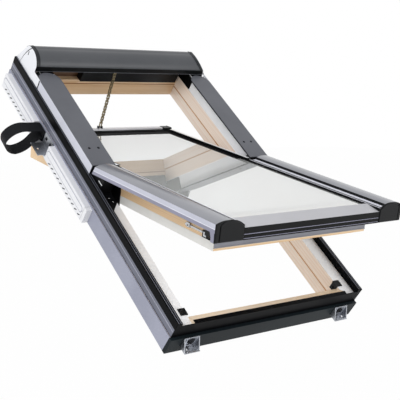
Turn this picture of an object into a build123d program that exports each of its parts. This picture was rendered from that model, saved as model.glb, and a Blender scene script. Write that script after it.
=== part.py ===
"""Centre-pivot roof window on its frame: pine inside, metal covers outside, opened by a chain drive.

The window is modelled in roof coordinates: x across it, y up the slope from the pivot axis, z out of
the roof from the frame's room face. on_roof turns them into the part's own frame, whose origin is the
middle of the sill's room face, with Z up and +Y in plan towards the ridge.
The sash is modelled shut, in x, s up the slope and t out of the roof from the pivot axis, and in_sash
turns it open. Right-hand parts are modelled and mirrored to the left.
"""
import math
import os

from build123d import *

# How the window stands, in degrees
roof_pitch = 40
opening = 28

# Pine frame, over its outer faces
frame_width = 740
frame_length = 1180
jamb_width = 64
board = 4
front_board = 12
jamb_height = 110
ledge_height = 88.5
shoulder = 57
upstand = 13
sill_height = 101
sill_depth = 40
sill_fall = 21
head_depth = 35
head_height = 108
head_ledge = 66
head_back = 16
groove_width = 3
groove_depth = 2.5
jamb_groove = 40
head_groove = 48

# Rails, boards and trims on the frame
sheet = 2
rail_overrun = 30
bead = 1.5
bead_height = 76
sill_rail_depth = 12
trim_sheet = 1.5
trim_inset = 1
trim_wall_start = 62
trim_flange_in = 12
trim_flange_out = 38

# Fixed covers beside the upper half of the sash
cover_sheet = 1.2
cover_rise = 14
cover_reach = 26
cover_margin = 10
cover_start = 20
cover_gap = 4
cover_clearance = 4
cover_lip = 3
screw_row = 99
screw_insets = (-2, 31)
screw_head = 4.2
screw_head_height = 1.6
screw_shank = 2
screw_length = 4

# Hood over the head
hood_margin = 13
hood_sheet = 1.5
hood_overlap = 67
hood_front_drop = 0.4
hood_overhang = 46
hood_back_low = 91
hood_rise_height = 64
hood_lip = 1
hood_rise_drop = 31
hood_turn_run = 17
hood_turn_drop = 9
hood_brow_run = 59
hood_shoulder_run = 80
hood_shoulder_drop = 4
hood_nape_run = 94
hood_nape_drop = 19
seam_top_run = 58
seam_bend_run = 89
seam_bend_drop = 45
seam_foot_run = 104
hood_end_sheet = 2.5

# Insulating collar round the frame, with its foil
collar_thickness = 20
collar_height = 52
collar_start = -75
collar_overrun = 10
collar_base = 8
foil = 0.8
foil_start = -60
recess = (220, 345)

# Lifting strap at the collar, flat webbing
strap_width = 45
strap_start = 290
strap_thickness = 2
strap_tab = 12
strap_bend = 3
strap_top_gap = 1
strap_bend_ratio = 0.45
strap_loop = [(62, 57), (114, 42), (133, 15), (119, -22), (79, -46), (42, -14), (18, 22)]

# Mounting brackets and their screws
bracket_sheet = 3
side_bracket_row = (225, 286)
side_bracket_reach = 46
side_bracket_lift = 2
sill_bracket_inset = 4
sill_bracket_width = 54
sill_bracket_foot = 20
sill_bracket_reach = 26
gusset = 3
bracket_hole = 3.5
bracket_screw_head = 6
bracket_screw_height = 3.5
bracket_screw_inset = 15

# Pivot
pivot_height = 135
pin_radius = 6
pin_play = 0.3
pin_length = 30
housing_inset = 2
housing_width = 44
housing_half = 45
housing_gap = 1.8
housing_round = 10
plate_thickness = 4
plate_half = 62
plate_low = -90
plate_high = 1.5
plate_disc = 11

# Sash, shut, as x, s and t from the pivot axis
sash_gap = 6
sash_sill_gap = 13
sash_head_gap = 22
sash_under = -82
sash_face = 2
stile_width = 49
side_rebate = 22
rebate_floor = -14
bottom_rebate = 20
top_rebate = 23
pane_play = 2
pane_thickness = 4
outer_pane_overhang = 31
outer_pane_face = 10
spacer_inset = 2
spacer_width = 12
gasket_width = 10
gasket_height = 3

# Metal on the sash
capping_sheet = 1.5
capping_face = 9
capping_rim = 12
side_cover_start = -5
side_cover_crease = 21
side_cover_crown = 29.8
side_cover_crown_inset = 40
side_cover_bend_inset = 17
side_cover_bend_drop = 2.5
side_cover_slope_run = 20
side_cover_slope_drop = 4.5
side_cover_clearance = 19
side_cover_valley = 14.5
side_cover_valley_run = 3
side_cover_lip = 16
side_cover_lip_run = 3
side_cover_lip_gap = 2
flap_length = 23
flap_foot = 17
flap_bend_drop = 14
cap_proud = 10
cap_plate = 3
cap_slope_run = 30
cap_drop = 26
cap_step_drop = 16
cap_bump = 3
cap_plug_depth = 44
bottom_cover_return = 18
bottom_cover_edge = 5
bottom_cover_depth = 48
bottom_cover_rise = 15
bottom_cover_reach = 55
lining = 1
lining_top = -57

# Locking rods on the sides of the sash, and their catches on the frame
rod_thickness = 3
rod_low = -45
rod_high = -39
rod_top = -110
lock_clearance = 5.7
block_length = 22
block_span = 33
block_low = -56.5
block_high = -36
bolt_high = -48.5
guide_inset = 64
guide_top = -140
guide_half = 8
guide_play = 0.3
guide_wall = 1.1
guide_margin = 3.7
catch_length = 24
catch_width = 20
catch_gap = 0.7
catch_depth = 25.2
catch_lug_depth = 4.8
catch_proud = 1.2
lug_proud = 4.5
catch_screw = 4
fit = 0.3

# Chain drive on the head
drive_length = 420
drive_inset = 12
drive_overhang = 10
drive_gap = 3
nose_middle = -25
nose_half = 19
nose_sheet = 4
nose_root = 2
nose_reach = 45
nose_seat = 7
nose_low_rise = 31
nose_top_rise = 53
drum_radius = 8
drum_pin = 3
exit_guide = 12
exit_turn = 2
chain_inset = 11
chain_height = 24
chain_ear = 28
ear_sheet = 2
ear_half = 8
ear_base = 14
ear_radius = 7
ear_base_sheet = 2
ear_gap = 1
link_pitch = 11
link_half = 4.5
link_width = 10
link_plate = 1.6
link_pin = 2
link_gap = 0.4
chain_clearance = 3

side = frame_width / 2
jamb_out = side - board
jamb_in = jamb_out - jamb_width
foot = -frame_length / 2
crown = frame_length / 2
jamb_foot = foot + front_board
jamb_crown = crown - sheet
sill_in = jamb_foot + sill_depth
head_in = jamb_crown - head_depth
ledge_edge = jamb_out - sheet - upstand
trim_top = ledge_height + trim_sheet
rail_top = jamb_height + sheet
rail_crown = crown + rail_overrun
cover_top = pivot_height + cover_rise
cover_under = cover_top - cover_sheet
cover_drop = cover_top - rail_top - cover_clearance
hood_peak = pivot_height + hood_rise_height
hood_front_low = cover_top - hood_front_drop
hood_half = side - hood_margin
hood_front = head_in - hood_overlap
hood_back = crown + hood_overhang
sill_middle = jamb_foot + sill_depth / 2
trim_wall = jamb_in + trim_inset
cover_in = jamb_in - cover_reach
cover_out = side - cover_margin
cover_crown = hood_front - cover_gap
collar_crown = crown + collar_overrun
housing_in = jamb_in + housing_inset
housing_out = housing_in + housing_width
housing_height = cover_under - housing_gap
catch_lug = pivot_height + bolt_high + catch_gap
catch_high = catch_lug + catch_lug_depth
catch_low = catch_lug - catch_depth
catch_face = jamb_in - catch_proud
catch_reach = jamb_in - lug_proud
sill_bracket_middle = jamb_in - sill_bracket_inset
sash_half = jamb_in - sash_gap
sash_low = sill_in + sash_sill_gap
sash_high = head_in - sash_head_gap
rebate_half = sash_half - side_rebate
rebate_low = sash_low + bottom_rebate
rebate_high = sash_high - top_rebate
pane_half = rebate_half - pane_play
inner_pane_low = rebate_low + pane_play
inner_pane_high = rebate_high - pane_play
outer_pane_low = sash_low - outer_pane_overhang
side_cover_flange = rail_top - pivot_height + side_cover_clearance
flap_bend = side_cover_flange - flap_bend_drop
cap_low = side_cover_flange - cap_drop
cap_step = side_cover_flange - cap_step_drop
cap_face = foot - cap_proud
side_cover_end = cap_face + cap_plate
bottom_lip = cap_face + bottom_cover_reach
rod_in = sash_half + lining
drive_right = jamb_in - drive_inset
drive_left = drive_right - drive_length
drive_front = head_in - drive_overhang
drive_height = cover_top - drive_gap
nose_low = pivot_height + nose_low_rise
nose_top = pivot_height + nose_top_rise
nose_front = head_in - nose_reach
nose_back = head_in + nose_seat
chain_row = sash_high - chain_inset

in_sash = Pos(0, 0, pivot_height) * Rot(-opening, 0, 0)
on_roof = Rot(roof_pitch, 0, 0) * Pos(0, -sill_middle, 0)
nodes = {}


def slab(x0, x1, y0, y1, z0, z1):
    """A block between two opposite corners."""
    block = Box(abs(x1 - x0), abs(y1 - y0), abs(z1 - z0))
    return Pos((x0 + x1) / 2, (y0 + y1) / 2, (z0 + z1) / 2) * block


def along(points, y0, y1):
    """An outline of (x, z) points drawn out up the slope from y0 to y1."""
    outline = Polyline(*[(x, y0, z) for x, z in points], close=True)
    return extrude(make_face(outline), amount=y1 - y0, dir=(0, 1, 0))


def across(points, x0, x1):
    """An outline of (y, z) points drawn out across the window from x0 to x1."""
    outline = Polyline(*[(x0, y, z) for y, z in points], close=True)
    return extrude(make_face(outline), amount=x1 - x0, dir=(1, 0, 0))


def upright(face, z0, z1):
    """A face on the roof plane drawn out of the roof from z0 to z1."""
    return Pos(0, 0, z0) * extrude(face, amount=z1 - z0)


def bar(radius, x0, x1, y, z):
    """A round bar across the window."""
    return Pos((x0 + x1) / 2, y, z) * Rot(0, 90, 0) * Cylinder(radius, x1 - x0)


def peg(radius, x, y, z0, z1):
    """A round peg that stands out of the roof."""
    return Pos(x, y, (z0 + z1) / 2) * Cylinder(radius, z1 - z0)


def stud(radius, x, y0, y1, z):
    """A round stud that lies up the slope."""
    return Pos(x, (y0 + y1) / 2, z) * Rot(90, 0, 0) * Cylinder(radius, y1 - y0)


def folded(line, thickness):
    """The section of a sheet whose outer face follows a line, with the sheet on its right."""
    return make_face(offset(line, amount=thickness, side=Side.RIGHT, closed=True))


def pair(name, right, place=Location()):
    """A right-hand part and its mirror image on the left."""
    nodes[f"{name}_right"] = place * right
    nodes[f"{name}_left"] = place * mirror(right, about=Plane.YZ)


def both(right):
    """A part and its mirror image as one group."""
    return Part() + right + mirror(right, about=Plane.YZ)


# Jambs, with a groove on the room side and the pocket that holds the catch
jamb_outline = [
    (jamb_in, 0),
    (jamb_out, 0),
    (jamb_out, shoulder),
    (jamb_out - sheet, shoulder),
    (jamb_out - sheet, jamb_height),
    (ledge_edge, jamb_height),
    (ledge_edge, ledge_height),
    (jamb_in, ledge_height),
]
catch_out = jamb_in + catch_width
catch_start = sill_in + fit
catch_end = catch_start + catch_length
catch_pocket = slab(jamb_in, catch_out, catch_start, catch_end, catch_low, catch_high)
jamb = along(jamb_outline, jamb_foot, jamb_crown)
jamb -= slab(jamb_in, jamb_in + groove_depth, sill_in, head_in, jamb_groove, jamb_groove + groove_width)
pair("jamb", jamb - catch_pocket)

# Sill, its top falling towards the opening, and head between the jambs
sill_outline = [
    (jamb_foot, 0),
    (sill_in, 0),
    (sill_in, sill_height - sill_fall),
    (jamb_foot + sill_rail_depth, sill_height),
    (jamb_foot, sill_height),
]
nodes["sill"] = across(sill_outline, -jamb_in, jamb_in)
head_outline = [
    (head_in, 0),
    (jamb_crown, 0),
    (jamb_crown, head_height),
    (jamb_crown - head_back, head_height),
    (jamb_crown - head_back, head_ledge),
    (head_in, head_ledge),
]
head = across(head_outline, -jamb_in, jamb_in)
nodes["head"] = head - slab(
    -jamb_in, jamb_in, head_in, head_in + groove_depth, head_groove, head_groove + groove_width
)

# Black rails that cap the jambs and the sill, and the sheet behind the head
rail_outline = [
    (jamb_out - sheet, shoulder),
    (jamb_out, shoulder),
    (jamb_out, bead_height),
    (jamb_out + bead, bead_height + bead),
    (jamb_out, bead_height + 2 * bead),
    (jamb_out, rail_top),
    (ledge_edge - sheet, rail_top),
    (ledge_edge - sheet, trim_top),
    (ledge_edge, trim_top),
    (ledge_edge, jamb_height),
    (jamb_out - sheet, jamb_height),
]
rail_end = slab(ledge_edge - sheet, jamb_out, jamb_foot - sheet, jamb_foot, shoulder, rail_top)
pair("side_rail", along(rail_outline, jamb_foot, rail_crown) + rail_end)
rail_corner = ledge_edge - sheet
sill_web = slab(-rail_corner, rail_corner, jamb_foot - sheet, jamb_foot, shoulder, sill_height + sheet)
sill_cap = slab(-jamb_in, jamb_in, jamb_foot, jamb_foot + sill_rail_depth, sill_height, sill_height + sheet)
nodes["sill_rail"] = sill_web + sill_cap
flashing_half = jamb_out - sheet - fit
flashing_outline = [
    (-flashing_half, 0),
    (flashing_half, 0),
    (flashing_half, ledge_height),
    (rail_corner - fit, ledge_height),
    (rail_corner - fit, jamb_height),
    (fit - rail_corner, jamb_height),
    (fit - rail_corner, ledge_height),
    (-flashing_half, ledge_height),
]
nodes["head_flashing"] = along(flashing_outline, jamb_crown, crown)

# Boards that clad the frame's outside
nodes["front_board"] = slab(-side, side, foot, jamb_foot, 0, shoulder)
pair("side_board", slab(jamb_out, side, jamb_foot, rail_crown, 0, shoulder))

# Light trims on the ledge, with a wall in the upper half that carries the fixed cover
trim_flange_low = cover_under - trim_sheet
trim = slab(jamb_in, ledge_edge, jamb_foot, jamb_crown, ledge_height, trim_top)
trim += slab(trim_wall, trim_wall + trim_sheet, trim_wall_start, head_in, trim_top, cover_under)
trim_in = jamb_in - trim_flange_in
trim_out = jamb_in + trim_flange_out
trim += slab(trim_in, trim_out, trim_wall_start, head_in, trim_flange_low, cover_under)
shank_low = cover_top - screw_length
shank_holes = Part()
cover_screws = Part()
for screw_inset in screw_insets:
    screw_x = jamb_in + screw_inset
    shank_holes += peg(screw_shank + fit, screw_x, screw_row, shank_low, cover_top)
    cover_screws += peg(screw_shank, screw_x, screw_row, shank_low, cover_top)
    cover_screws += peg(screw_head, screw_x, screw_row, cover_top, cover_top + screw_head_height)
pair("jamb_trim", trim - catch_pocket - shank_holes)
nodes["cover_screws"] = both(cover_screws)

# Fixed covers, a folded sheet with a round upper end
cover_outline = [
    (cover_in, cover_top - cover_lip),
    (cover_in + cover_sheet, cover_top - cover_lip),
    (cover_in + cover_sheet, cover_under),
    (cover_out - cover_sheet, cover_under),
    (cover_out - cover_sheet, cover_top - cover_drop),
    (cover_out, cover_top - cover_drop),
    (cover_out, cover_top),
    (cover_in, cover_top),
]
cover_middle = (cover_in + cover_out) / 2
crown_drop = (cover_out - cover_in) / 2
round_start = cover_crown - crown_drop
cover_edge = Polyline(
    (cover_in, round_start),
    (cover_in, cover_start),
    (cover_out, cover_start),
    (cover_out, round_start),
)
cover_round = ThreePointArc((cover_out, round_start), (cover_middle, cover_crown), (cover_in, round_start))
cover_plan = upright(make_face(cover_edge + cover_round), cover_top - cover_drop, cover_top)
pair("upper_cover", (along(cover_outline, cover_start, cover_crown) & cover_plan) - shank_holes)

# Hood, a bent sheet with closed ends, and the light plates on its ends
hood_rise = (hood_front, hood_peak - hood_rise_drop)
hood_turn = (hood_front + hood_turn_run, hood_peak - hood_turn_drop)
hood_brow = (hood_front + hood_brow_run, hood_peak)
hood_shoulder = (hood_front + hood_shoulder_run, hood_peak - hood_shoulder_drop)
hood_nape = (hood_front + hood_nape_run, hood_peak - hood_nape_drop)
hood_line = (
    Line((hood_front + hood_lip, hood_front_low), hood_rise)
    + ThreePointArc(hood_rise, hood_turn, hood_brow)
    + ThreePointArc(hood_brow, hood_shoulder, hood_nape)
    + Line(hood_nape, (hood_back, hood_back_low))
)
hood_section = Plane.YZ.offset(-hood_half) * folded(Wire(hood_line.edges()), hood_sheet)
back_slope = (hood_back - hood_nape[0]) / (hood_nape[1] - hood_back_low)
cheek_back = hood_nape[0] + back_slope * (hood_nape[1] - rail_top)
cheek_line = (
    Line((hood_front + hood_lip, rail_top), hood_rise)
    + ThreePointArc(hood_rise, hood_turn, hood_brow)
    + ThreePointArc(hood_brow, hood_shoulder, hood_nape)
    + Polyline(hood_nape, (cheek_back, rail_top), (hood_front + hood_lip, rail_top))
)
hood_cheek = Plane.YZ.offset(hood_half - hood_sheet) * make_face(cheek_line)
hood_cheeks = both(extrude(hood_cheek, amount=hood_sheet))
nodes["hood"] = extrude(hood_section, amount=2 * hood_half) + hood_cheeks
seam_top = (hood_front + seam_top_run, hood_peak)
seam_bend = (hood_front + seam_bend_run, hood_peak - seam_bend_drop)
seam_foot = (hood_front + seam_foot_run, rail_top)
end_start = (hood_front + hood_lip, rail_top)
end_front = Line(end_start, hood_rise) + ThreePointArc(hood_rise, hood_turn, seam_top)
end_seam = ThreePointArc(seam_top, seam_bend, seam_foot)
end_foot = Line(seam_foot, end_start)
end_face = Plane.YZ.offset(hood_half) * make_face(end_front + end_seam + end_foot)
pair("hood_end", extrude(end_face, amount=hood_end_sheet))

# Insulating collar with a recess for the bracket and strap, and the foil over it
collar_out = side + collar_thickness
recess_cut = slab(side, collar_out + foil, *recess, collar_base, collar_height + foil)
pair("collar", slab(side, collar_out, collar_start, collar_crown, 0, collar_height) - recess_cut)
skin = slab(collar_out, collar_out + foil, foil_start, collar_crown, 0, collar_height + foil)
skin += slab(side, collar_out, foil_start, collar_crown, collar_height, collar_height + foil)
pair("collar_foil", skin - recess_cut)

# Lifting strap on the left: two tabs on the side board and the loop between them
tab_x = side + strap_thickness / 2
tab_base = collar_base + strap_thickness
second_tab_x = tab_x + strap_thickness + fit / 2
strap_points = [(tab_x, tab_base), (tab_x, shoulder - strap_top_gap)]
strap_points += [(side + run, rise) for run, rise in strap_loop]
strap_points += [(second_tab_x, tab_base + strap_tab + strap_bend), (second_tab_x, tab_base)]
strap_corners = [Vector(-x, z) for x, z in strap_points]
strap_radii = []
for before, corner, after in zip(strap_corners, strap_corners[1:], strap_corners[2:]):
    half_turn = math.radians((corner - before).get_angle(after - corner)) / 2
    shorter = min((corner - before).length, (after - corner).length)
    strap_radii.append(strap_bend_ratio * shorter / math.tan(half_turn))
strap_line = FilletPolyline(*strap_corners, radius=strap_radii)
strap_section = Plane.XZ.offset(-strap_start) * trace(strap_line, strap_thickness)
nodes["lifting_strap"] = extrude(strap_section, amount=-strap_width)

# Side brackets beside the strap, and brackets under the sill
side_bracket_low = collar_base + side_bracket_lift
side_bracket_middle = sum(side_bracket_row) / 2
side_bracket_hole = side + side_bracket_reach * 0.7
side_bracket = slab(side, side + bracket_sheet, *side_bracket_row, side_bracket_low, shoulder)
side_bracket += slab(
    side, side + side_bracket_reach, *side_bracket_row, side_bracket_low, side_bracket_low + bracket_sheet
)
side_bracket -= peg(
    bracket_hole, side_bracket_hole, side_bracket_middle, side_bracket_low, side_bracket_low + bracket_sheet
)
pair("side_bracket", side_bracket)
sill_bracket_in = sill_bracket_middle - sill_bracket_width / 2
sill_bracket_out = sill_bracket_middle + sill_bracket_width / 2
bracket_face = foot - bracket_sheet
bracket_tip = bracket_face - sill_bracket_reach
foot_top = sill_bracket_foot + bracket_sheet
sill_bracket = slab(
    sill_bracket_in, sill_bracket_out, bracket_face, foot, sill_bracket_foot, shoulder
)
sill_bracket += slab(
    sill_bracket_in, sill_bracket_out, bracket_tip, bracket_face, sill_bracket_foot, foot_top
)
for gusset_x in (sill_bracket_in, sill_bracket_out - gusset):
    gusset_outline = [
        (bracket_face, foot_top),
        (bracket_face, shoulder - gusset),
        (bracket_tip + gusset, foot_top),
    ]
    sill_bracket += across(gusset_outline, gusset_x, gusset_x + gusset)
sill_bracket_hole = bracket_face - sill_bracket_reach / 2
hole_side = sill_bracket_middle + sill_bracket_width / 4
sill_bracket -= peg(bracket_hole, hole_side, sill_bracket_hole, sill_bracket_foot, foot_top)
pair("sill_bracket", sill_bracket)
screw_height = (foot_top + shoulder) / 2
bracket_screws = stud(
    bracket_screw_head, sill_bracket_middle, bracket_face - bracket_screw_height, bracket_face, screw_height
)
for row in (side_bracket_row[0] + bracket_screw_inset, side_bracket_row[1] - bracket_screw_inset):
    screw_face = side + bracket_sheet
    bracket_screws += bar(
        bracket_screw_head, screw_face, screw_face + bracket_screw_height, row, screw_height
    )
nodes["bracket_screws"] = both(bracket_screws)

# Pivot: a housing on the ledge, and a plate with its pin on the sash
pin_start = sash_half + plate_thickness
pin_end = pin_start + pin_length
housing = slab(housing_in, housing_out, -housing_half, housing_half, trim_top, housing_height)
housing = fillet(housing.edges().filter_by(Axis.X).group_by(Axis.Z)[-1], housing_round)
pair("hinge_housing", housing - bar(pin_radius + pin_play, housing_in, pin_end + fit, 0, pivot_height))
plate = slab(sash_half, pin_start, -plate_half, plate_half, plate_low, plate_high)
plate += bar(plate_disc, sash_half + lining, pin_start, 0, 0)
pair("hinge_plate", plate + bar(pin_radius, pin_start, pin_end, 0, 0), in_sash)

# Catches let into the jambs
catch = slab(catch_face, catch_out, catch_start, catch_end, catch_low, catch_high)
catch += slab(catch_reach, catch_face, catch_start, catch_end, catch_lug, catch_high)
catch_middle = (catch_start + catch_end) / 2
catch -= bar(catch_screw, catch_face, catch_face + catch_screw, catch_middle, (catch_low + catch_lug) / 2)
pair("catch", catch)

# Wooden sash: stiles with rails between them, rebated for the glass
rail_half = sash_half - stile_width
stile_outline = [
    (rail_half, sash_under),
    (sash_half, sash_under),
    (sash_half, sash_face),
    (rebate_half, sash_face),
    (rebate_half, rebate_floor),
    (rail_half, rebate_floor),
]
pair("stile", along(stile_outline, sash_low, sash_high), in_sash)
sash_rails = {
    "bottom_rail": (sash_low, sash_low + stile_width, sash_low, rebate_low),
    "top_rail": (sash_high - stile_width, sash_high, rebate_high, sash_high),
}
for name, (rail_low, rail_high, lip_low, lip_high) in sash_rails.items():
    rail = slab(-rail_half, rail_half, rail_low, rail_high, sash_under, rebate_floor)
    rail += slab(-rebate_half, rebate_half, lip_low, lip_high, rebate_floor, sash_face)
    nodes[name] = in_sash * rail

# Stepped glass unit with its spacer, and the gasket on it
inner_face = rebate_floor + pane_thickness
outer_back = outer_pane_face - pane_thickness
nodes["inner_pane"] = in_sash * slab(
    -pane_half, pane_half, inner_pane_low, inner_pane_high, rebate_floor, inner_face
)
nodes["outer_pane"] = in_sash * slab(
    -pane_half, pane_half, outer_pane_low, inner_pane_high, outer_back, outer_pane_face
)
ring_half = pane_half - spacer_inset
ring_low = inner_pane_low + spacer_inset
ring_high = inner_pane_high - spacer_inset
ring = slab(-ring_half, ring_half, ring_low, ring_high, inner_face, outer_back)
ring -= slab(
    spacer_width - ring_half,
    ring_half - spacer_width,
    ring_low + spacer_width,
    ring_high - spacer_width,
    inner_face,
    outer_back,
)
nodes["pane_spacer"] = in_sash * ring
gasket_top = outer_pane_face + gasket_height
gasket_in = pane_half - gasket_width
gasket = slab(-pane_half, pane_half, bottom_lip, inner_pane_high, outer_pane_face, gasket_top)
gasket -= slab(
    -gasket_in, gasket_in, bottom_lip, inner_pane_high - gasket_width, outer_pane_face, gasket_top
)
nodes["glazing_gasket"] = in_sash * gasket

# Light cappings on the top of the wood
capping_edge = rebate_half - capping_sheet
capping_under = capping_face - capping_sheet
capping_outline = [
    (rebate_half, sash_face),
    (rebate_half + capping_sheet, sash_face),
    (rebate_half + capping_sheet, capping_under),
    (sash_half - capping_sheet, capping_under),
    (sash_half - capping_sheet, sash_face),
    (sash_half, sash_face),
    (sash_half, capping_under),
    (sash_half + lining, capping_under),
    (sash_half + lining, capping_face),
    (rebate_half, capping_face),
    (rebate_half, capping_rim),
    (capping_edge, capping_rim),
    (capping_edge, capping_under),
    (rebate_half, capping_under),
]
pair("capping", along(capping_outline, sash_low, sash_high), in_sash)
capping_top = slab(-capping_edge, capping_edge, rebate_high, sash_high, capping_under, capping_face)
for leg_row in (rebate_high, sash_high - capping_sheet):
    capping_top += slab(
        -capping_edge, capping_edge, leg_row, leg_row + capping_sheet, sash_face, capping_under
    )
nodes["capping_top"] = in_sash * capping_top

# Side covers on the lower half: a crowned sheet with a flange that ends in a deeper flap
crown_side = (cover_out, side_cover_crease)
crown_bend = (cover_out - side_cover_bend_inset, side_cover_crown - side_cover_bend_drop)
crown_top = (cover_out - side_cover_crown_inset, side_cover_crown)
slope_bend = (crown_top[0] - side_cover_slope_run, side_cover_crown - side_cover_slope_drop)
valley = (rebate_half + side_cover_valley_run, side_cover_valley)
lip_bend = (pane_half - side_cover_lip_run, side_cover_lip)
lip_end = (gasket_in + side_cover_lip_gap, side_cover_lip)
side_cover_line = (
    Line((lip_end[0], gasket_top), lip_end)
    + Line(lip_end, lip_bend)
    + Line(lip_bend, valley)
    + ThreePointArc(valley, slope_bend, crown_top)
    + ThreePointArc(crown_top, crown_bend, crown_side)
    + Line(crown_side, (cover_out, side_cover_flange))
)
side_section = Plane.XZ.offset(-side_cover_start) * folded(Wire(side_cover_line.edges()), cover_sheet)
side_cover = extrude(side_section, amount=side_cover_start - side_cover_end)
flap_rear = cap_face + flap_foot
flap_start = cap_face + flap_length
flap_outline = [
    (side_cover_end, side_cover_flange),
    (side_cover_end, cap_low),
    (flap_rear, cap_low),
    (flap_rear, flap_bend),
    (flap_start, side_cover_flange),
]
side_cover += across(flap_outline, cover_out - cover_sheet, cover_out)
pair("side_cover", side_cover, in_sash)

# Moulded caps that close the lower ends of the side covers
cap_in = gasket_in
cap_inside = cover_out - cover_sheet - fit
cap_slope = (crown_top[0] - cap_slope_run, side_cover_crown - side_cover_bend_drop)
cap_plug_end = cap_face + cap_plug_depth
cap_face_line = (
    Polyline((cap_in, gasket_top), (cap_in, cap_low), (cover_out, cap_low), crown_side)
    + ThreePointArc(crown_side, crown_bend, crown_top)
    + ThreePointArc(crown_top, cap_slope, (cap_in, gasket_top))
)
cap_plane = Plane.XZ.offset(-side_cover_end)
end_cap = extrude(cap_plane * make_face(cap_face_line), amount=side_cover_end - cap_face)
bump_face = offset(make_face(cap_face_line), amount=-2 * cap_bump, kind=Kind.ARC)
end_cap += extrude(Plane.XZ.offset(-cap_face) * bump_face, amount=cap_bump)
end_cap += slab(cap_in, cap_inside, side_cover_end, flap_rear, cap_low, outer_back - fit)
end_cap += slab(cap_in, cap_inside, flap_rear, cap_plug_end, cap_step, outer_back - fit)
pair("end_cap", end_cap, in_sash)

# Bottom cover between the caps, a folded sheet that ends on the glass
bottom_line = Polyline(
    (bottom_lip, outer_pane_face),
    (bottom_lip, bottom_cover_rise),
    (cap_face + bottom_cover_depth, bottom_cover_rise),
    (cap_face, bottom_cover_edge),
    (cap_face, cap_low),
    (cap_face + bottom_cover_return, cap_low),
)
bottom_section = make_face(offset(bottom_line, amount=cover_sheet, side=Side.LEFT, closed=True))
nodes["bottom_cover"] = in_sash * extrude(Plane.YZ.offset(-cap_in) * bottom_section, amount=2 * cap_in)

# Linings low on the outer faces of the stiles
lining_piece = slab(sash_half, sash_half + lining, sash_low, -plate_half - fit, sash_under, lining_top)
pair("stile_lining", lining_piece, in_sash)

# Locking rods: a flat rod with a block and bolt at its lower end, in two guides
rod_out = rod_in + rod_thickness
lock_end = catch_end + lock_clearance
block_rear = lock_end + block_span
lock = slab(rod_in, rod_out, block_rear, rod_top, rod_low, rod_high)
lock += slab(sash_half + fit, rod_out, lock_end + block_length / 2, block_rear, block_low, block_high)
lock += slab(rod_in, rod_out, lock_end, block_rear, block_low, bolt_high)
pair("lock_rod", lock, in_sash)
guides = Part()
for guide_row in (block_rear + guide_inset, guide_top):
    guide = slab(
        sash_half,
        rod_out + guide_play + guide_wall,
        guide_row - guide_half,
        guide_row + guide_half,
        rod_low - guide_margin,
        rod_high + guide_margin,
    )
    guides += guide - slab(
        sash_half + lining - guide_play,
        rod_out + guide_play,
        guide_row - guide_half,
        guide_row + guide_half,
        rod_low - guide_play,
        rod_high + guide_play,
    )
nodes["lock_guides"] = in_sash * both(guides)

# Chain drive on the head's ledge: housing with a nose, the drum in it, the chain and its bracket
chain_radius = math.hypot(chain_row, chain_height)
exit_angle = math.atan2(chain_height, chain_row) + math.radians(exit_turn)
exit_row = chain_radius * math.cos(exit_angle)
exit_height = pivot_height + chain_radius * math.sin(exit_angle)
turn = math.radians(opening)
end_row = chain_row * math.cos(turn) + chain_height * math.sin(turn)
end_height = pivot_height - chain_row * math.sin(turn) + chain_height * math.cos(turn)
chain_length = math.hypot(end_row - exit_row, end_height - exit_height)
chain_lean = math.degrees(math.atan2(end_row - exit_row, exit_height - end_height))
on_exit = Pos(nose_middle, exit_row, exit_height) * Rot(chain_lean, 0, 0)
drive_back = jamb_crown - head_back
housing = slab(drive_left, drive_right, drive_front, drive_back, head_ledge, drive_height)
nose_outline = [
    (drive_front + nose_root, drive_height),
    (nose_back, drive_height),
    (nose_back, nose_top),
    (nose_front, nose_top),
    (nose_front, nose_low),
    (drive_front + nose_root, nose_low),
]
nose_left = nose_middle - nose_half
nose_right = nose_middle + nose_half
for cheek_x in (nose_left, nose_right - nose_sheet):
    housing += across(nose_outline, cheek_x, cheek_x + nose_sheet)
housing += slab(nose_left, nose_right, drive_front + nose_root, nose_back, drive_height, nose_top)
housing -= bar(drum_pin + pin_play, nose_left, nose_right, exit_row, exit_height)
nodes["drive_housing"] = housing
drum_half = nose_half - nose_sheet - fit
drum = bar(drum_radius, nose_middle - drum_half, nose_middle + drum_half, exit_row, exit_height)
drum += bar(drum_pin, nose_left, nose_right, exit_row, exit_height)
guide_block = slab(-link_width / 2, link_width / 2, -link_half, link_half, -exit_guide, 0)
nodes["drive_exit"] = drum + on_exit * guide_block

chain = Part()
chain_start = exit_guide + fit
chain_stop = chain_length - chain_clearance
links = math.floor((chain_stop - chain_start - 2 * link_half) / link_pitch)
true_pitch = (chain_stop - chain_start - 2 * link_half) / links
for link in range(links + 1):
    pin_z = -chain_start - link_half - link * true_pitch
    chain += bar(link_pin, -link_width / 2, link_width / 2, 0, pin_z)
for link in range(links):
    upper = -chain_start - link_half - link * true_pitch
    inset = link_plate * (link % 2)
    for plate_x in (inset - link_width / 2, link_width / 2 - inset - link_plate):
        plate_half_width = link_half - link_gap
        chain += slab(
            plate_x,
            plate_x + link_plate,
            -plate_half_width,
            plate_half_width,
            upper - true_pitch - plate_half_width,
            upper + plate_half_width,
        )
nodes["chain"] = on_exit * chain

ear_foot = capping_face + ear_base_sheet
ears = slab(
    nose_middle - ear_base, nose_middle + ear_base, rebate_high + ear_gap, sash_high, capping_face, ear_foot
)
for ear_x in (nose_middle - ear_half, nose_middle + ear_half - ear_sheet):
    ears += slab(
        ear_x,
        ear_x + ear_sheet,
        chain_row - ear_radius,
        chain_row + ear_radius,
        capping_face,
        chain_ear,
    )
ears += bar(link_pin, nose_middle - ear_half, nose_middle + ear_half, chain_row, chain_height)
nodes["chain_bracket"] = in_sash * ears

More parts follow.
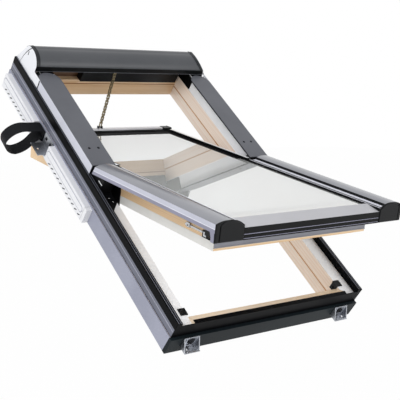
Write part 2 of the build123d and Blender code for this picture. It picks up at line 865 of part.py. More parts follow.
os.makedirs("parts", exist_ok=True)
for name, shape in nodes.items():
    export_step(on_roof * shape, f"parts/{name}.step")
exit_place = on_roof * Pos(nose_middle, exit_row, exit_height)
pivot_place = on_roof * Pos(0, 0, pivot_height)
print("nodes", len(nodes), "pivot", pivot_place.position, "exit", exit_place.position)
print("chain length", chain_length, "lean from the roof normal", chain_lean)
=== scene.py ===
# %% [markdown]
# A centre-pivot roof window: a pine frame that lies in the roof, a pine sash that turns in it about a
# pivot half way up, metal covers outside, and a chain drive on the head that pushes the sash open.
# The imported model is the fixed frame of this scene. It stays as it is, and everything below either
# gives one of its parts a finish or puts a finer piece in the same place.

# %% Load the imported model
import math

import bmesh
import bpy
from mathutils import Matrix, Vector


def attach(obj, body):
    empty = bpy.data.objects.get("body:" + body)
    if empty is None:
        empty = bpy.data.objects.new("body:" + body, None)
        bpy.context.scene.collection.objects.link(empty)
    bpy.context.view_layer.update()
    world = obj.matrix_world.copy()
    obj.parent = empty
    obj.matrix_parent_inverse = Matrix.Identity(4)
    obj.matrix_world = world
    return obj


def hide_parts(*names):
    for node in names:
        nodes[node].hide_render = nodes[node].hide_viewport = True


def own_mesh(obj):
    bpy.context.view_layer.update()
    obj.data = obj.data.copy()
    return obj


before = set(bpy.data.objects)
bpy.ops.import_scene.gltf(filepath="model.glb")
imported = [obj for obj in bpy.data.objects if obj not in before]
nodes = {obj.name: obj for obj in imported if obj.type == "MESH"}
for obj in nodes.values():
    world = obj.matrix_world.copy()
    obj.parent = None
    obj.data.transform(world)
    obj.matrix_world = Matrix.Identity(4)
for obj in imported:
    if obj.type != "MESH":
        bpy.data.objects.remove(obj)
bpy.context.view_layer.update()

# %% [markdown]
# The window lies at a roof's slope, so its pieces are drawn flat, in millimetres, as a joiner would:
# x across the window, y up the slope from the pivot, z out of the roof. One matrix then lays them in
# the roof, and a second one does the same for what turns with the sash.

# %% Roof and sash places
ROOF_PITCH = math.radians(40)
OPENING = math.radians(28)
SILL_MIDDLE = -558
PIVOT_HEIGHT = 135
MILLIMETRE = 0.001
ROOF = Matrix.Rotation(ROOF_PITCH, 4, "X") @ Matrix.Scale(MILLIMETRE, 4)
ROOF = ROOF @ Matrix.Translation((0, -SILL_MIDDLE, 0))
SASH = ROOF @ Matrix.Translation((0, 0, PIVOT_HEIGHT)) @ Matrix.Rotation(-OPENING, 4, "X")


def span(node, place):
    """Lowest and highest corner of a CAD part, in the roof's or the sash's own millimetres."""
    back = place.inverted()
    corners = [back @ vertex.co for vertex in nodes[node].data.vertices]
    low = Vector([min(corner[axis] for corner in corners) for axis in range(3)])
    high = Vector([max(corner[axis] for corner in corners) for axis in range(3)])
    return low, high


print("pivot", [round(c, 4) for c in SASH @ Vector()], "hood", span("hood", ROOF))

# %% [markdown]
# The camera stands low on the left, below the window, and looks up the slope with a long lens.
# It leans by less than a degree, as the picture it is matched to does.

# %% Camera
CAMERA_PLACE = Vector((-1.7632, -1.9934, 0.6402))
CAMERA_AIM = Vector((0.61006, 0.78639, -0.09708))
CAMERA_LEAN = math.radians(-0.8)
CAMERA_LENS = 80.27
camera_data = bpy.data.cameras.new("camera")
camera_data.lens = CAMERA_LENS
camera_data.clip_end = 100
camera = bpy.data.objects.new("camera", camera_data)
bpy.context.scene.collection.objects.link(camera)
facing = CAMERA_AIM.to_track_quat("-Z", "Y").to_matrix().to_4x4()
camera.matrix_world = Matrix.Translation(CAMERA_PLACE) @ facing @ Matrix.Rotation(CAMERA_LEAN, 4, "Z")
bpy.context.scene.camera = camera
bpy.context.scene.view_settings.view_transform = "Standard"
print("camera at", [round(c, 2) for c in CAMERA_PLACE], "with a lens of", CAMERA_LENS, "mm")

# %% [markdown]
# Colours are picked as they look on screen, in sRGB, while shaders mix linear light. This turns one
# into the other. A second small function adds a node: a plain value is set on the node or its socket,
# and another node's output is linked to it.


# %% Colours and nodes
def linear(shown):
    """An sRGB colour such as #8a8d91 as linear red, green, blue and alpha."""
    channels = [int(shown[start:start + 2], 16) / 255 for start in (1, 3, 5)]
    return [c / 12.92 if c <= 0.04045 else ((c + 0.055) / 1.055) ** 2.4 for c in channels] + [1]


def add(tree, kind, settings):
    """Add one node, and set or link what settings names on it."""
    node = tree.nodes.new("ShaderNode" + kind)
    for name, value in settings.items():
        if isinstance(value, bpy.types.NodeSocket):
            tree.links.new(value, node.inputs[name])
        elif isinstance(name, int) or name in node.inputs:
            node.inputs[name].default_value = value
        else:
            setattr(node, name, value)
    return node


print("mid grey in linear light", round(linear("#808080")[0], 3))

# %% [markdown]
# A product picture stands on plain white. The world is a soft grey-white lamp for the object itself,
# and full white only for what the camera, a reflection or the glass looks at. The lamp's level is one
# at which a painted colour comes out about as it is written.

# %% World
AMBIENT = 0.78


def looked_at(tree):
    """1 for what the camera, a reflection or the glass looks at, and 0 for light on the object."""
    rays = add(tree, "LightPath", {}).outputs
    seen = add(tree, "Math", {"operation": "MAXIMUM", 0: rays["Is Camera Ray"], 1: rays["Is Glossy Ray"]})
    seen = add(tree, "Math", {"operation": "MAXIMUM", 0: seen.outputs[0], 1: rays["Is Transmission Ray"]})
    return seen.outputs[0]


world = bpy.data.worlds.new("studio")
world.use_nodes = True
bpy.context.scene.world = world
sky = world.node_tree
level = add(sky, "MapRange", {"Value": looked_at(sky), "To Min": AMBIENT, "To Max": 1.0})
sky.links.new(level.outputs["Result"], sky.nodes["Background"].inputs["Strength"])
sky.nodes["Background"].inputs["Color"].default_value = linear("#ffffff")
print("world light", AMBIENT, "on the object, and 1 where it is looked at")

# %% [markdown]
# Two large soft lamps give the covers and the wood their modelling: a key from the left and above,
# and a low one in front that reaches the undersides. Each looks at the middle of the window.

# %% Lamps
WINDOW_MIDDLE = Vector((0, 0.32, 0.42))


def lamp(name, place, size, power):
    """A square area lamp that faces the middle of the window."""
    data = bpy.data.lights.new(name, "AREA")
    data.size = size
    data.energy = power
    softbox = bpy.data.objects.new(name, data)
    bpy.context.scene.collection.objects.link(softbox)
    softbox.location = place
    softbox.rotation_euler = (WINDOW_MIDDLE - softbox.location).to_track_quat("-Z", "Y").to_euler()
    print(name, "lamp of", power, "watts,", round((WINDOW_MIDDLE - place).length, 2), "m away")


lamp("key", Vector((-3.0, -1.6, 2.6)), 2.0, 60)
lamp("fill", Vector((1.6, -3.2, -0.2)), 2.2, 46)

# %% [markdown]
# The floor lies well below the window, which belongs in a roof and stands on nothing here. To the
# camera it is nearly as white as the world, and what little of its own paint shows keeps the shadow.

# %% Floor
FLOOR_HEIGHT = -0.55
FLOOR_SIZE = 40
FLOOR_GLOW = 0.97
floor_paint = bpy.data.materials.new("floor_paint")
floor_paint.use_nodes = True
floor_tree = floor_paint.node_tree
glow = add(floor_tree, "Emission", {"Color": linear("#ffffff"), "Strength": 1.0})
share = add(floor_tree, "Math", {"operation": "MULTIPLY", 0: looked_at(floor_tree), 1: FLOOR_GLOW})
matt = floor_tree.nodes["Principled BSDF"]
matt.inputs["Base Color"].default_value = linear("#f2f2f0")
matt.inputs["Roughness"].default_value = 0.9
blended = add(floor_tree, "MixShader", {0: share.outputs[0], 1: matt.outputs[0], 2: glow.outputs[0]})
floor_tree.links.new(blended.outputs[0], floor_tree.nodes["Material Output"].inputs["Surface"])
floor_mesh = bmesh.new()
bmesh.ops.create_grid(floor_mesh, x_segments=1, y_segments=1, size=FLOOR_SIZE / 2)
floor_data = bpy.data.meshes.new("floor")
floor_mesh.to_mesh(floor_data)
floor_mesh.free()
floor = bpy.data.objects.new("floor", floor_data)
floor.location.z = FLOOR_HEIGHT
floor_data.materials.append(floor_paint)
bpy.context.scene.collection.objects.link(floor)
print("floor", FLOOR_SIZE, "m wide,", FLOOR_HEIGHT, "m from the window's origin")

# %% [markdown]
# Every finish starts from the same shader with its plain values set on its sockets. A pattern reads
# the piece's own object coordinates, turned so that the window's slope runs along one axis.


# %% Start of a finish
def new_finish(name, shader_values):
    """A material with its shader's plain values set, with its node tree and shader."""
    finish = bpy.data.materials.new(name)
    finish.use_nodes = True
    tree = finish.node_tree
    shader = tree.nodes["Principled BSDF"]
    for socket, value in shader_values.items():
        shader.inputs[socket].default_value = value
    return finish, tree, shader


def laid_flat(tree, turn, stretch=(1, 1, 1)):
    """Object coordinates turned back by the slope of a piece, and stretched along its axes."""
    place = add(tree, "TexCoord", {}).outputs["Object"]
    turned = add(tree, "Mapping", {"Vector": place, "Rotation": (-turn, 0, 0)}).outputs[0]
    return add(tree, "Mapping", {"Vector": turned, "Scale": stretch}).outputs[0]


def shade(tree, shader, pattern, stops):
    """Colour the shader by a pattern from 0 to 1, through stops of (place, colour)."""
    ramp = add(tree, "ValToRGB", {0: pattern})
    ramp.color_ramp.elements[0].position = stops[0][0]
    ramp.color_ramp.elements[0].color = linear(stops[0][1])
    ramp.color_ramp.elements[1].position = stops[-1][0]
    ramp.color_ramp.elements[1].color = linear(stops[-1][1])
    for place, colour in stops[1:-1]:
        ramp.color_ramp.elements.new(place).color = linear(colour)
    tree.links.new(ramp.outputs[0], shader.inputs["Base Color"])


def relief(tree, shader, height, depth):
    """Raise the surface by a pattern from 0 to 1, to a depth in metres."""
    bump = add(tree, "Bump", {"Height": height, "Distance": depth, "Strength": 1.0})
    tree.links.new(bump.outputs[0], shader.inputs["Normal"])


# %% [markdown]
# The frame and the sash are planed pine under a clear water-based lacquer. Growth rings cut by the
# plane show as long soft bands every few millimetres, warmer where the late wood is, and fine fibres
# run along the piece. The lacquer gives a low, even sheen. Rings are drawn round a line beside the
# piece, so a wide face shows them as arches and a narrow one as straight bands. Sizes of patterns are
# real ones, in metres, and a wave texture of scale 1 repeats every tau / 20 of them.

# %% Pine
SASH_SLOPE = ROOF_PITCH - OPENING
WAVE_PERIOD = math.tau / 20
RING_SPACING = 0.0042
FIBRE_WIDTH, FIBRE_DEPTH = 0.0006, 0.00004
ALONG_GRAIN = 0.035
HEART_PLACE = (0.11, 0.07, 0.13)
WANDER, WANDERS_IN_A_METRE = 0.02, 9
TONES_IN_A_METRE = 14


def pine(name, colours, turn, lengthwise):
    """Lacquered pine: its grain runs up the slope, or across the window."""
    lacquer = {"Roughness": 0.4, "Coat Weight": 0.2, "Coat Roughness": 0.25}
    finish, tree, shader = new_finish(name, lacquer)
    grain = laid_flat(tree, turn, (1, ALONG_GRAIN, 1) if lengthwise else (ALONG_GRAIN, 1, 1))
    direction = "Y" if lengthwise else "X"
    heart = add(tree, "Mapping", {"Vector": grain, "Location": HEART_PLACE}).outputs[0]
    drift = add(tree, "TexNoise", {"Vector": grain, "Scale": WANDERS_IN_A_METRE, "Detail": 3})
    drifted = add(tree, "MixRGB", {
        "blend_type": "LINEAR_LIGHT", "Fac": WANDER, 1: heart, 2: drift.outputs["Color"],
    })
    rings = add(tree, "TexWave", {
        "wave_type": "RINGS", "rings_direction": direction, "wave_profile": "SAW",
        "Vector": drifted.outputs[0], "Scale": WAVE_PERIOD / RING_SPACING,
        "Distortion": 1.2, "Detail": 2, "Detail Scale": 1.5,
    })
    fibres = add(tree, "TexNoise", {"Vector": grain, "Scale": 1 / FIBRE_WIDTH, "Detail": 2})
    tones = add(tree, "TexNoise", {"Vector": grain, "Scale": TONES_IN_A_METRE, "Detail": 1})
    mixed = add(tree, "Mix", {0: 0.35, 2: rings.outputs["Fac"], 3: fibres.outputs["Fac"]})
    mixed = add(tree, "Mix", {0: 0.35, 2: mixed.outputs[0], 3: tones.outputs["Fac"]})
    shade(tree, shader, mixed.outputs[0], [(0.15, colours[0]), (0.5, colours[1]), (0.9, colours[2])])
    relief(tree, shader, fibres.outputs["Fac"], FIBRE_DEPTH)
    return finish


FRAME_PINE = ("#f7e7d0", "#f0d8b8", "#debb91")
HEAD_PINE = ("#e5c9a8", "#debc95", "#cda378")
# The jambs' near-white copy of the frame pine is painted light: it lifts their inner faces, which lie in
# shade.
LIGHTENED_JAMB_PINE = ("#fff5ea", "#fdeada", "#f0d4ba")
SASH_PINE = ("#f5dfbf", "#ecca9f", "#d7a872")
pine_up = pine("pine_jamb", LIGHTENED_JAMB_PINE, ROOF_PITCH, True)
pine_across = pine("pine_sill", FRAME_PINE, ROOF_PITCH, False)
pine_head = pine("pine_head", HEAD_PINE, ROOF_PITCH, False)
sash_pine_up = pine("pine_stile", SASH_PINE, SASH_SLOPE, True)
sash_pine_across = pine("pine_sash_rail", SASH_PINE, SASH_SLOPE, False)
print("growth rings", RING_SPACING * 1000, "mm apart, at wave scale", round(WAVE_PERIOD / RING_SPACING, 1))

# %% [markdown]
# The metal outside is aluminium sheet, folded and coil coated. The coating has a very fine orange
# peel and a satin gloss, and its colour drifts a little over a long sheet. One function makes every
# coated sheet, from near black rails to the pale trims.

# %% Coated aluminium
PEEL_WIDTH, PEEL_DEPTH = 0.0012, 0.00002
DRIFTS_IN_A_METRE = 7


def coated(name, colour, darker, roughness, turn=ROOF_PITCH, gloss=0.35):
    """Coil-coated aluminium: a satin paint with fine orange peel."""
    finish, tree, shader = new_finish(name, {"Roughness": roughness, "Specular IOR Level": gloss})
    flat = laid_flat(tree, turn)
    drift = add(tree, "TexNoise", {"Vector": flat, "Scale": DRIFTS_IN_A_METRE, "Detail": 4})
    shade(tree, shader, drift.outputs["Fac"], [(0.35, darker), (0.65, colour)])
    peel = add(tree, "TexNoise", {"Vector": flat, "Scale": 1 / PEEL_WIDTH, "Detail": 1})
    relief(tree, shader, peel.outputs["Fac"], PEEL_DEPTH)
    return finish


anthracite = coated("coated_anthracite", "#5a5c63", "#54565d", 0.4)
hood_paint = coated("coated_hood", "#4d4f53", "#484a4e", 0.34)
cover_flange = coated("painted_reflection_pale_flange", "#c4c6d4", "#bcbecc", 0.3)
white_flange = coated("coated_white_flange", "#eef0f6", "#e8eaf0", 0.3)
black_rail = coated("coated_black_rail", "#07080b", "#050608", 0.42, gloss=0.05)
rail_strip = coated("coated_silver_strip", "#6a6d7b", "#626572", 0.25)
light_trim = coated("coated_light_trim", "#f7f8fb", "#eff1f4", 0.35)
side_board_paint = coated("coated_silver_board", "#9c9fb0", "#9396a7", 0.4)
slate = coated("coated_slate_board", "#151d21", "#11181c", 0.45, gloss=0.1)
capping_paint = coated("coated_capping", "#e6e7ec", "#dddee4", 0.3)
bottom_paint = coated("coated_bottom_cover", "#b4b4b9", "#adadb2", 0.36, SASH_SLOPE)
print("orange peel", PEEL_WIDTH * 1000, "mm wide and", PEEL_DEPTH * 1000, "mm deep")

# %% [markdown]
# Black fittings are injection-moulded nylon and ABS: a fine spark-eroded grain and a dull gloss.

# %% Moulded plastic
SPARK_GRAIN, SPARK_DEPTH = 0.0009, 0.00003
FLOW_MARKS_IN_A_METRE = 22


def moulded(name, colour, lighter, roughness, turn=ROOF_PITCH, gloss=0.18):
    """Injection-moulded plastic with a fine eroded grain."""
    finish, tree, shader = new_finish(name, {"Roughness": roughness, "Specular IOR Level": gloss})
    flat = laid_flat(tree, turn)
    cells = add(tree, "TexVoronoi", {"Vector": flat, "Scale": 1 / SPARK_GRAIN})
    drift = add(tree, "TexNoise", {"Vector": flat, "Scale": FLOW_MARKS_IN_A_METRE, "Detail": 3})
    shade(tree, shader, drift.outputs["Fac"], [(0.3, colour), (0.75, lighter)])
    relief(tree, shader, cells.outputs["Distance"], SPARK_DEPTH)
    return finish


black_plastic = moulded("nylon_black", "#0e0f11", "#141518", 0.42)
drive_plastic = moulded("abs_drive_black", "#0b0c0e", "#111316", 0.34)
cap_plastic = moulded("nylon_cap", "#0d0e10", "#121315", 0.4, SASH_SLOPE)
rubber = moulded("epdm_gasket", "#040506", "#08090b", 0.6, SASH_SLOPE, 0.04)
lining_plastic = moulded("pvc_lining", "#e0dfdc", "#e8e7e4", 0.35, SASH_SLOPE)
print("eroded grain", SPARK_GRAIN * 1000, "mm wide")

# %% [markdown]
# Brackets are zinc-plated steel, with the crystals of the bath just visible, and pins and rods are
# bright turned steel. The drive's chain is blued and oiled, so it looks bronze where light catches it.

# %% Bare metals
SPANGLE = 0.006
SCRATCHES_IN_A_METRE, SCRATCH_DEPTH = 900, 0.00002


def plated(name, colour, darker, roughness, turn=ROOF_PITCH):
    """Zinc or steel: metallic, with a spangle of slightly different crystals."""
    finish, tree, shader = new_finish(name, {"Metallic": 1.0, "Roughness": roughness})
    flat = laid_flat(tree, turn)
    crystals = add(tree, "TexVoronoi", {"Vector": flat, "Scale": 1 / SPANGLE})
    shade(tree, shader, crystals.outputs["Distance"], [(0.1, darker), (0.8, colour)])
    scratches = add(tree, "TexNoise", {"Vector": flat, "Scale": SCRATCHES_IN_A_METRE, "Detail": 2})
    relief(tree, shader, scratches.outputs["Fac"], SCRATCH_DEPTH)
    return finish


zinc = plated("zinc_plate", "#b9bcc2", "#a4a7ae", 0.34)
steel = plated("bright_steel", "#c8cace", "#b4b6ba", 0.24, SASH_SLOPE)
black_steel = plated("black_zinc_steel", "#2b2c30", "#202125", 0.42)
chain_steel = plated("blued_chain_steel", "#93876c", "#6f6553", 0.36)
spacer_metal = plated("spacer_foil", "#b6b8ba", "#a8aaac", 0.3, SASH_SLOPE)
print("zinc crystals", SPANGLE * 1000, "mm wide")

# %% [markdown]
# The collar is closed-cell foam under a woven foil, and the panes are float glass with a faint green
# cast. Nothing is painted into the glass. Its transmission is well under 1, because two panes under a
# white sky look milky from outside, and a coat gives it the sharp reflection of its face.

# %% Foam, foil and glass
FOAM_CELL, FOAM_DEPTH = 0.0022, 0.0002
foam, foam_tree, foam_shader = new_finish("polyethylene_foam", {"Roughness": 0.75})
foam_flat = laid_flat(foam_tree, ROOF_PITCH)
foam_cells = add(foam_tree, "TexVoronoi", {"Vector": foam_flat, "Scale": 1 / FOAM_CELL})
shade(foam_tree, foam_shader, foam_cells.outputs["Distance"], [(0.1, "#dcdde2"), (0.7, "#eeeff3")])
relief(foam_tree, foam_shader, foam_cells.outputs["Distance"], FOAM_DEPTH)

FOIL_THREAD, THREAD_DEPTH = 0.0016, 0.00015
foil, foil_tree, foil_shader = new_finish("woven_foil", {"Roughness": 0.5, "Sheen Weight": 0.1})
foil_flat = laid_flat(foil_tree, ROOF_PITCH)
thread_scale = WAVE_PERIOD / FOIL_THREAD
warp = add(foil_tree, "TexWave", {"bands_direction": "Y", "Vector": foil_flat, "Scale": thread_scale})
weft = add(foil_tree, "TexWave", {"bands_direction": "Z", "Vector": foil_flat, "Scale": thread_scale})
weave = add(foil_tree, "Math", {"operation": "MULTIPLY", 0: warp.outputs["Fac"], 1: weft.outputs["Fac"]})
shade(foil_tree, foil_shader, weave.outputs[0], [(0.0, "#e6e7ec"), (0.8, "#f5f6fa")])
relief(foil_tree, foil_shader, weave.outputs[0], THREAD_DEPTH)

glass = new_finish("float_glass", {
    "Base Color": linear("#fcfefd"), "Roughness": 0.0, "IOR": 1.46, "Transmission Weight": 0.6,
    "Coat Weight": 1.0, "Coat Roughness": 0.0, "Coat IOR": 1.6,
})[0]
print("finishes so far", len(bpy.data.materials))

# %% [markdown]
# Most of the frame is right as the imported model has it: planed timber and folded sheet. Each part
# gets its finish, and a live bevel that breaks its sharp edges, as a plane or a folding machine does.
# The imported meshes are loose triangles, so a weld comes first.

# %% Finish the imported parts
PACKED_EDGE, PACKED_SEAM = 0.5, 0.01
PACKED_SHARP = math.radians(35)
single_parts = {
    "sill": pine_across, "head": pine_head, "top_rail": sash_pine_across, "bottom_rail": sash_pine_across,
    "sill_rail": black_rail, "head_flashing": black_rail, "front_board": slate, "hood": hood_paint,
    "bracket_screws": black_steel, "cover_screws": black_steel, "lifting_strap": black_plastic,
    "inner_pane": glass, "outer_pane": glass, "pane_spacer": spacer_metal, "glazing_gasket": rubber,
    "capping_top": capping_paint, "bottom_cover": bottom_paint, "lock_guides": black_plastic,
    "drive_housing": drive_plastic, "drive_exit": black_steel, "chain": chain_steel,
    "chain_bracket": black_steel,
}
paired_parts = {
    "jamb": pine_up, "stile": sash_pine_up, "side_rail": black_rail, "side_board": side_board_paint,
    "jamb_trim": light_trim, "collar": foam, "collar_foil": foil, "hood_end": white_flange,
    "side_bracket": zinc, "sill_bracket": zinc, "hinge_plate": black_steel, "hinge_housing": black_plastic,
    "catch": black_plastic, "lock_rod": steel, "stile_lining": lining_plastic, "capping": capping_paint,
    "upper_cover": anthracite, "side_cover": anthracite, "end_cap": cap_plastic,
}
finishes = dict(single_parts)
for part, finish in paired_parts.items():
    finishes[f"{part}_left"] = finish
    finishes[f"{part}_right"] = finish
for node, finish in finishes.items():
    nodes[node].data.materials.clear()
    nodes[node].data.materials.append(finish)
    if finish is glass:
        continue
    seams = nodes[node].modifiers.new("seams", "WELD")
    seams.merge_threshold = PACKED_SEAM * MILLIMETRE
    soft_edge = nodes[node].modifiers.new("edge", "BEVEL")
    soft_edge.width = PACKED_EDGE * MILLIMETRE
    soft_edge.segments = 2
    soft_edge.limit_method = "ANGLE"
    soft_edge.angle_limit = PACKED_SHARP
print("parts finished", len(finishes), "and without a finish", sorted(set(nodes) - set(finishes)))

# %% [markdown]
# Folded sheet, mouldings and plates all begin as an outline of a few corners, with real arcs where
# the piece is round. Spin makes each arc from the last corner, so nothing is worked out by hand but
# its centre.


# %% Outlines
def on_x(x):
    """Places for an outline of (y, z) points at one distance across the window."""
    return lambda y, z: Vector((x, y, z))


def on_y(y):
    """Places for an outline of (x, z) points at one distance up the slope."""
    return lambda x, z: Vector((x, y, z))


def on_z(z):
    """Places for an outline of (x, y) points at one height."""
    return lambda x, y: Vector((x, y, z))


def arc_of(start, via, end):
    """Centre, axis and turn of the arc that runs from start through via to end."""
    a, b = via - start, end - start
    axis = a.cross(b)
    beside = a.length_squared * b - b.length_squared * a
    centre = start + beside.cross(axis) / (2 * axis.length_squared)
    axis.normalize()
    turn = math.atan2(axis.dot((start - centre).cross(end - centre)), (start - centre).dot(end - centre))
    return centre, axis, turn % math.tau


def outline(bm, at, path, steps=8):
    """Draw straight runs, and an arc where path gives two points: through the first to the second."""
    last = bm.verts.new(at(*path[0]))
    for stop in path[1:]:
        if isinstance(stop[0], tuple):
            centre, axis, turn = arc_of(last.co, at(*stop[0]), at(*stop[1]))
            arc = bmesh.ops.spin(bm, geom=[last], cent=centre, axis=axis, angle=turn, steps=steps)
            last = arc["geom_last"][0]
        else:
            corner = bm.verts.new(at(*stop))
            bm.edges.new((last, corner))
            last = corner


over_the_top = arc_of(Vector((1, 0, 0)), Vector((0, 1, 0)), Vector((-1, 0, 0)))
print("an arc over the top of a circle turns", round(math.degrees(over_the_top[2])), "degrees")

# %% [markdown]
# An outline is drawn out straight, as a roll former or an extruder would do it. An open one makes a
# sheet without thickness, and its wall comes later. A closed one is filled first and makes a solid.

# %% Sheets, solids and blocks
SAME_CORNER = 0.01


def new_verts(made):
    """The corners among what an operator made."""
    return [part for part in made["geom"] if isinstance(part, bmesh.types.BMVert)]


def face_away(bm, inside):
    """Turn a sheet's faces away from a point inside it."""
    bmesh.ops.recalc_face_normals(bm, faces=bm.faces)
    away = sum(face.normal.dot(face.calc_center_median() - inside) * face.calc_area() for face in bm.faces)
    if away < 0:
        bmesh.ops.reverse_faces(bm, faces=bm.faces[:])


def folded(at, path, run, inside, steps=8):
    """A sheet without thickness: an open outline drawn out along run, its faces away from inside."""
    bm = bmesh.new()
    outline(bm, at, path, steps)
    made = bmesh.ops.extrude_edge_only(bm, edges=bm.edges[:])
    bmesh.ops.translate(bm, verts=new_verts(made), vec=run)
    face_away(bm, Vector(inside))
    return bm


def solid(at, path, run, steps=8):
    """A closed outline filled and drawn out along run."""
    bm = bmesh.new()
    outline(bm, at, path + [path[0]], steps)
    bmesh.ops.remove_doubles(bm, verts=bm.verts, dist=SAME_CORNER)
    bmesh.ops.contextual_create(bm, geom=bm.edges[:])
    made = bmesh.ops.extrude_face_region(bm, geom=bm.faces[:])
    bmesh.ops.translate(bm, verts=new_verts(made), vec=run)
    bmesh.ops.recalc_face_normals(bm, faces=bm.faces)
    return bm


def block(low, high):
    """A block between two corners."""
    bm = bmesh.new()
    made = bmesh.ops.create_cube(bm, size=1)
    low, high = Vector(low), Vector(high)
    bmesh.ops.scale(bm, verts=made["verts"], vec=high - low)
    bmesh.ops.translate(bm, verts=made["verts"], vec=(low + high) / 2)
    return bm


sample = block((0, 0, 0), (1, 2, 3))
print("a block of 1 by 2 by 3 holds", round(sample.calc_volume(signed=True), 3))
sample.free()

# %% [markdown]
# A mould or a press leaves its edges round, so these get a radius. Several drawings can become one
# piece, and some of its faces get another finish. Both sides of the window are alike, so the
# right-hand one is drawn, and its mirror image taken.


# %% Rounding, joining, mirroring and painting
SHARP_TURN = 0.6


def rounded(bm, radius, segments=3, chosen=lambda edge: edge.calc_face_angle(0) > SHARP_TURN):
    """Round the chosen edges, or all that are sharp."""
    bmesh.ops.bevel(
        bm, geom=[edge for edge in bm.edges if chosen(edge)], offset=radius, offset_type="OFFSET",
        affect="EDGES", segments=segments, profile=0.5, material=-1, clamp_overlap=True,
    )
    return bm


def joined(*drawings):
    """Several drawings in one bmesh."""
    whole = bmesh.new()
    for drawing in drawings:
        loose = bpy.data.meshes.new("loose")
        drawing.to_mesh(loose)
        drawing.free()
        whole.from_mesh(loose)
        bpy.data.meshes.remove(loose)
    return whole


def moved(bm, matrix):
    """A drawing moved or turned."""
    bmesh.ops.transform(bm, matrix=matrix, verts=bm.verts)
    return bm


def to_the_left(bm):
    """The mirror image of a drawing, with its faces still outwards."""
    bmesh.ops.scale(bm, vec=(-1, 1, 1), verts=bm.verts)
    bmesh.ops.reverse_faces(bm, faces=bm.faces[:])
    return bm


def painted(bm, number, chosen=lambda middle, normal: True):
    """Give the chosen faces, or all, another of the piece's finishes."""
    for face in bm.faces:
        if chosen(face.calc_center_median(), face.normal):
            face.material_index = number
    return bm


sample = rounded(block((0, 0, 0), (10, 10, 10)), 1)
print("a block with round edges has", len(sample.faces), "faces")
sample.free()

# %% [markdown]
# A drawing becomes a piece of the window here. Walls and broken edges are live modifiers, so that the
# drawing stays as simple as its outline, and weighted normals keep flat faces evenly lit beside round
# ones. Each piece rides on the body that it moves with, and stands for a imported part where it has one.


# %% Finished pieces
PIECE_SEAM = 0.001
SMOOTH_BELOW, ROUND_ABOVE = math.radians(38), math.radians(32)


def piece(name, bm, place, body, slot, surfaces, stands_for=(), sheet=0, edge=0.4):
    """A piece in its place on a body. Sheet is its wall's thickness and edge its rounding, in mm."""
    bmesh.ops.remove_doubles(bm, verts=bm.verts, dist=PIECE_SEAM)
    moved(bm, place)
    mesh = bpy.data.meshes.new(name)
    bm.to_mesh(mesh)
    bm.free()
    mesh.shade_smooth()
    mesh.set_sharp_from_angle(angle=SMOOTH_BELOW)
    thing = bpy.data.objects.new(name, mesh)
    bpy.context.scene.collection.objects.link(thing)
    for surface in surfaces:
        mesh.materials.append(surface)
    if sheet:
        wall = thing.modifiers.new("wall", "SOLIDIFY")
        wall.thickness = sheet * MILLIMETRE
        wall.offset = -1
        wall.use_even_offset = True
    if edge:
        soft_edge = thing.modifiers.new("edge", "BEVEL")
        soft_edge.width = edge * MILLIMETRE
        soft_edge.segments = 2
        soft_edge.limit_method = "ANGLE"
        soft_edge.angle_limit = ROUND_ABOVE
        soft_edge.harden_normals = True
    smooth = thing.modifiers.new("even_light", "WEIGHTED_NORMAL")
    smooth.keep_sharp = True
    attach(thing, body)
    if stands_for:
        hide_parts(*stands_for)
    print(name, "faces", len(mesh.polygons))
    return thing


def two_sides(name, draw, place, bodies, slot, surfaces, node=None, **walls):
    """A right-hand piece and its mirror image."""
    for side, body in zip(("right", "left"), bodies):
        drawing = draw()
        if side == "left":
            to_the_left(drawing)
        stands_for = [f"{node}_{side}"] if node else []
        piece(f"{name}_{side}", drawing, place, body, slot, surfaces, stands_for, **walls)


FRAME = ("frame", "frame")
ON_SASH = ("sash", "sash")

# %% [markdown]
# The hood is one long rolled sheet over the head. Its barrel is what one sees first, so it gets a
# close arc. Its low front lip faces down, and the shade there is painted: that facet gets a near-black
# painted shade, with a thin hemmed edge below it.

# %% Hood
HOOD_HALF = span("hood", ROOF)[1].x
RAIL_TOP = 112
HOOD_SHEET = 1.5
HOOD_FRONT, HOOD_RISE = (487, 148.6), (486, 168)
HOOD_SHOULDER, HOOD_BROW = (503, 190), (545, 199)
HOOD_BEND, HOOD_NAPE = (566, 195), (580, 180)
HOOD_BACK = (636, 91)
HOOD_INSIDE = (0, 540, 120)
HOOD_STEPS = 14
hood_path = [HOOD_FRONT, HOOD_RISE, (HOOD_SHOULDER, HOOD_BROW), (HOOD_BEND, HOOD_NAPE), HOOD_BACK]
hood = folded(on_x(-HOOD_HALF), hood_path, (2 * HOOD_HALF, 0, 0), HOOD_INSIDE, HOOD_STEPS)
# Painted shade: the faces of the low front lip get a near-black coat, as the lip faces down into shade.
painted(hood, 1, lambda middle, normal: middle.z < HOOD_RISE[1] and middle.y < HOOD_BROW[0])
hood_shadow = coated("painted_shade_hood_lip", "#090c0f", "#07090b", 0.4, gloss=0.14)
hood_coats = [hood_paint, hood_shadow]
piece("hood_sheet", hood, ROOF, "frame", "cover_anthracite", hood_coats, ["hood"], HOOD_SHEET)
HEM = 1.3
hem_low = (-HOOD_HALF, HOOD_FRONT[0] - 0.6, HOOD_FRONT[1] - 0.2)
hem = block(hem_low, (HOOD_HALF, HOOD_FRONT[0] + 2, HOOD_FRONT[1] + HEM))
piece("hood_hem", hem, ROOF, "frame", "cover_anthracite", [anthracite], edge=0.5)

# %% [markdown]
# Each end of the hood is closed by a cheek. On it sit two pale plates with an open joint between them.
# The joint's dark line rises in an arc from the rail to the hood's top, with a short slot beside it.

# %% Hood ends
CHEEK_FOOT = (HOOD_FRONT[0], RAIL_TOP)
CHEEK_BACK = (622.8, RAIL_TOP)
SEAM_TOP = (544, 199)
SEAM_BEND = (575, 154)
SEAM_FOOT = (590, RAIL_TOP)
SEAM_JOINT = 2.2
SLOT_LOW, SLOT_HIGH = (552.4, 166), (556, 181)
PLATE = 2.5
PLATE_RIM = 1.4


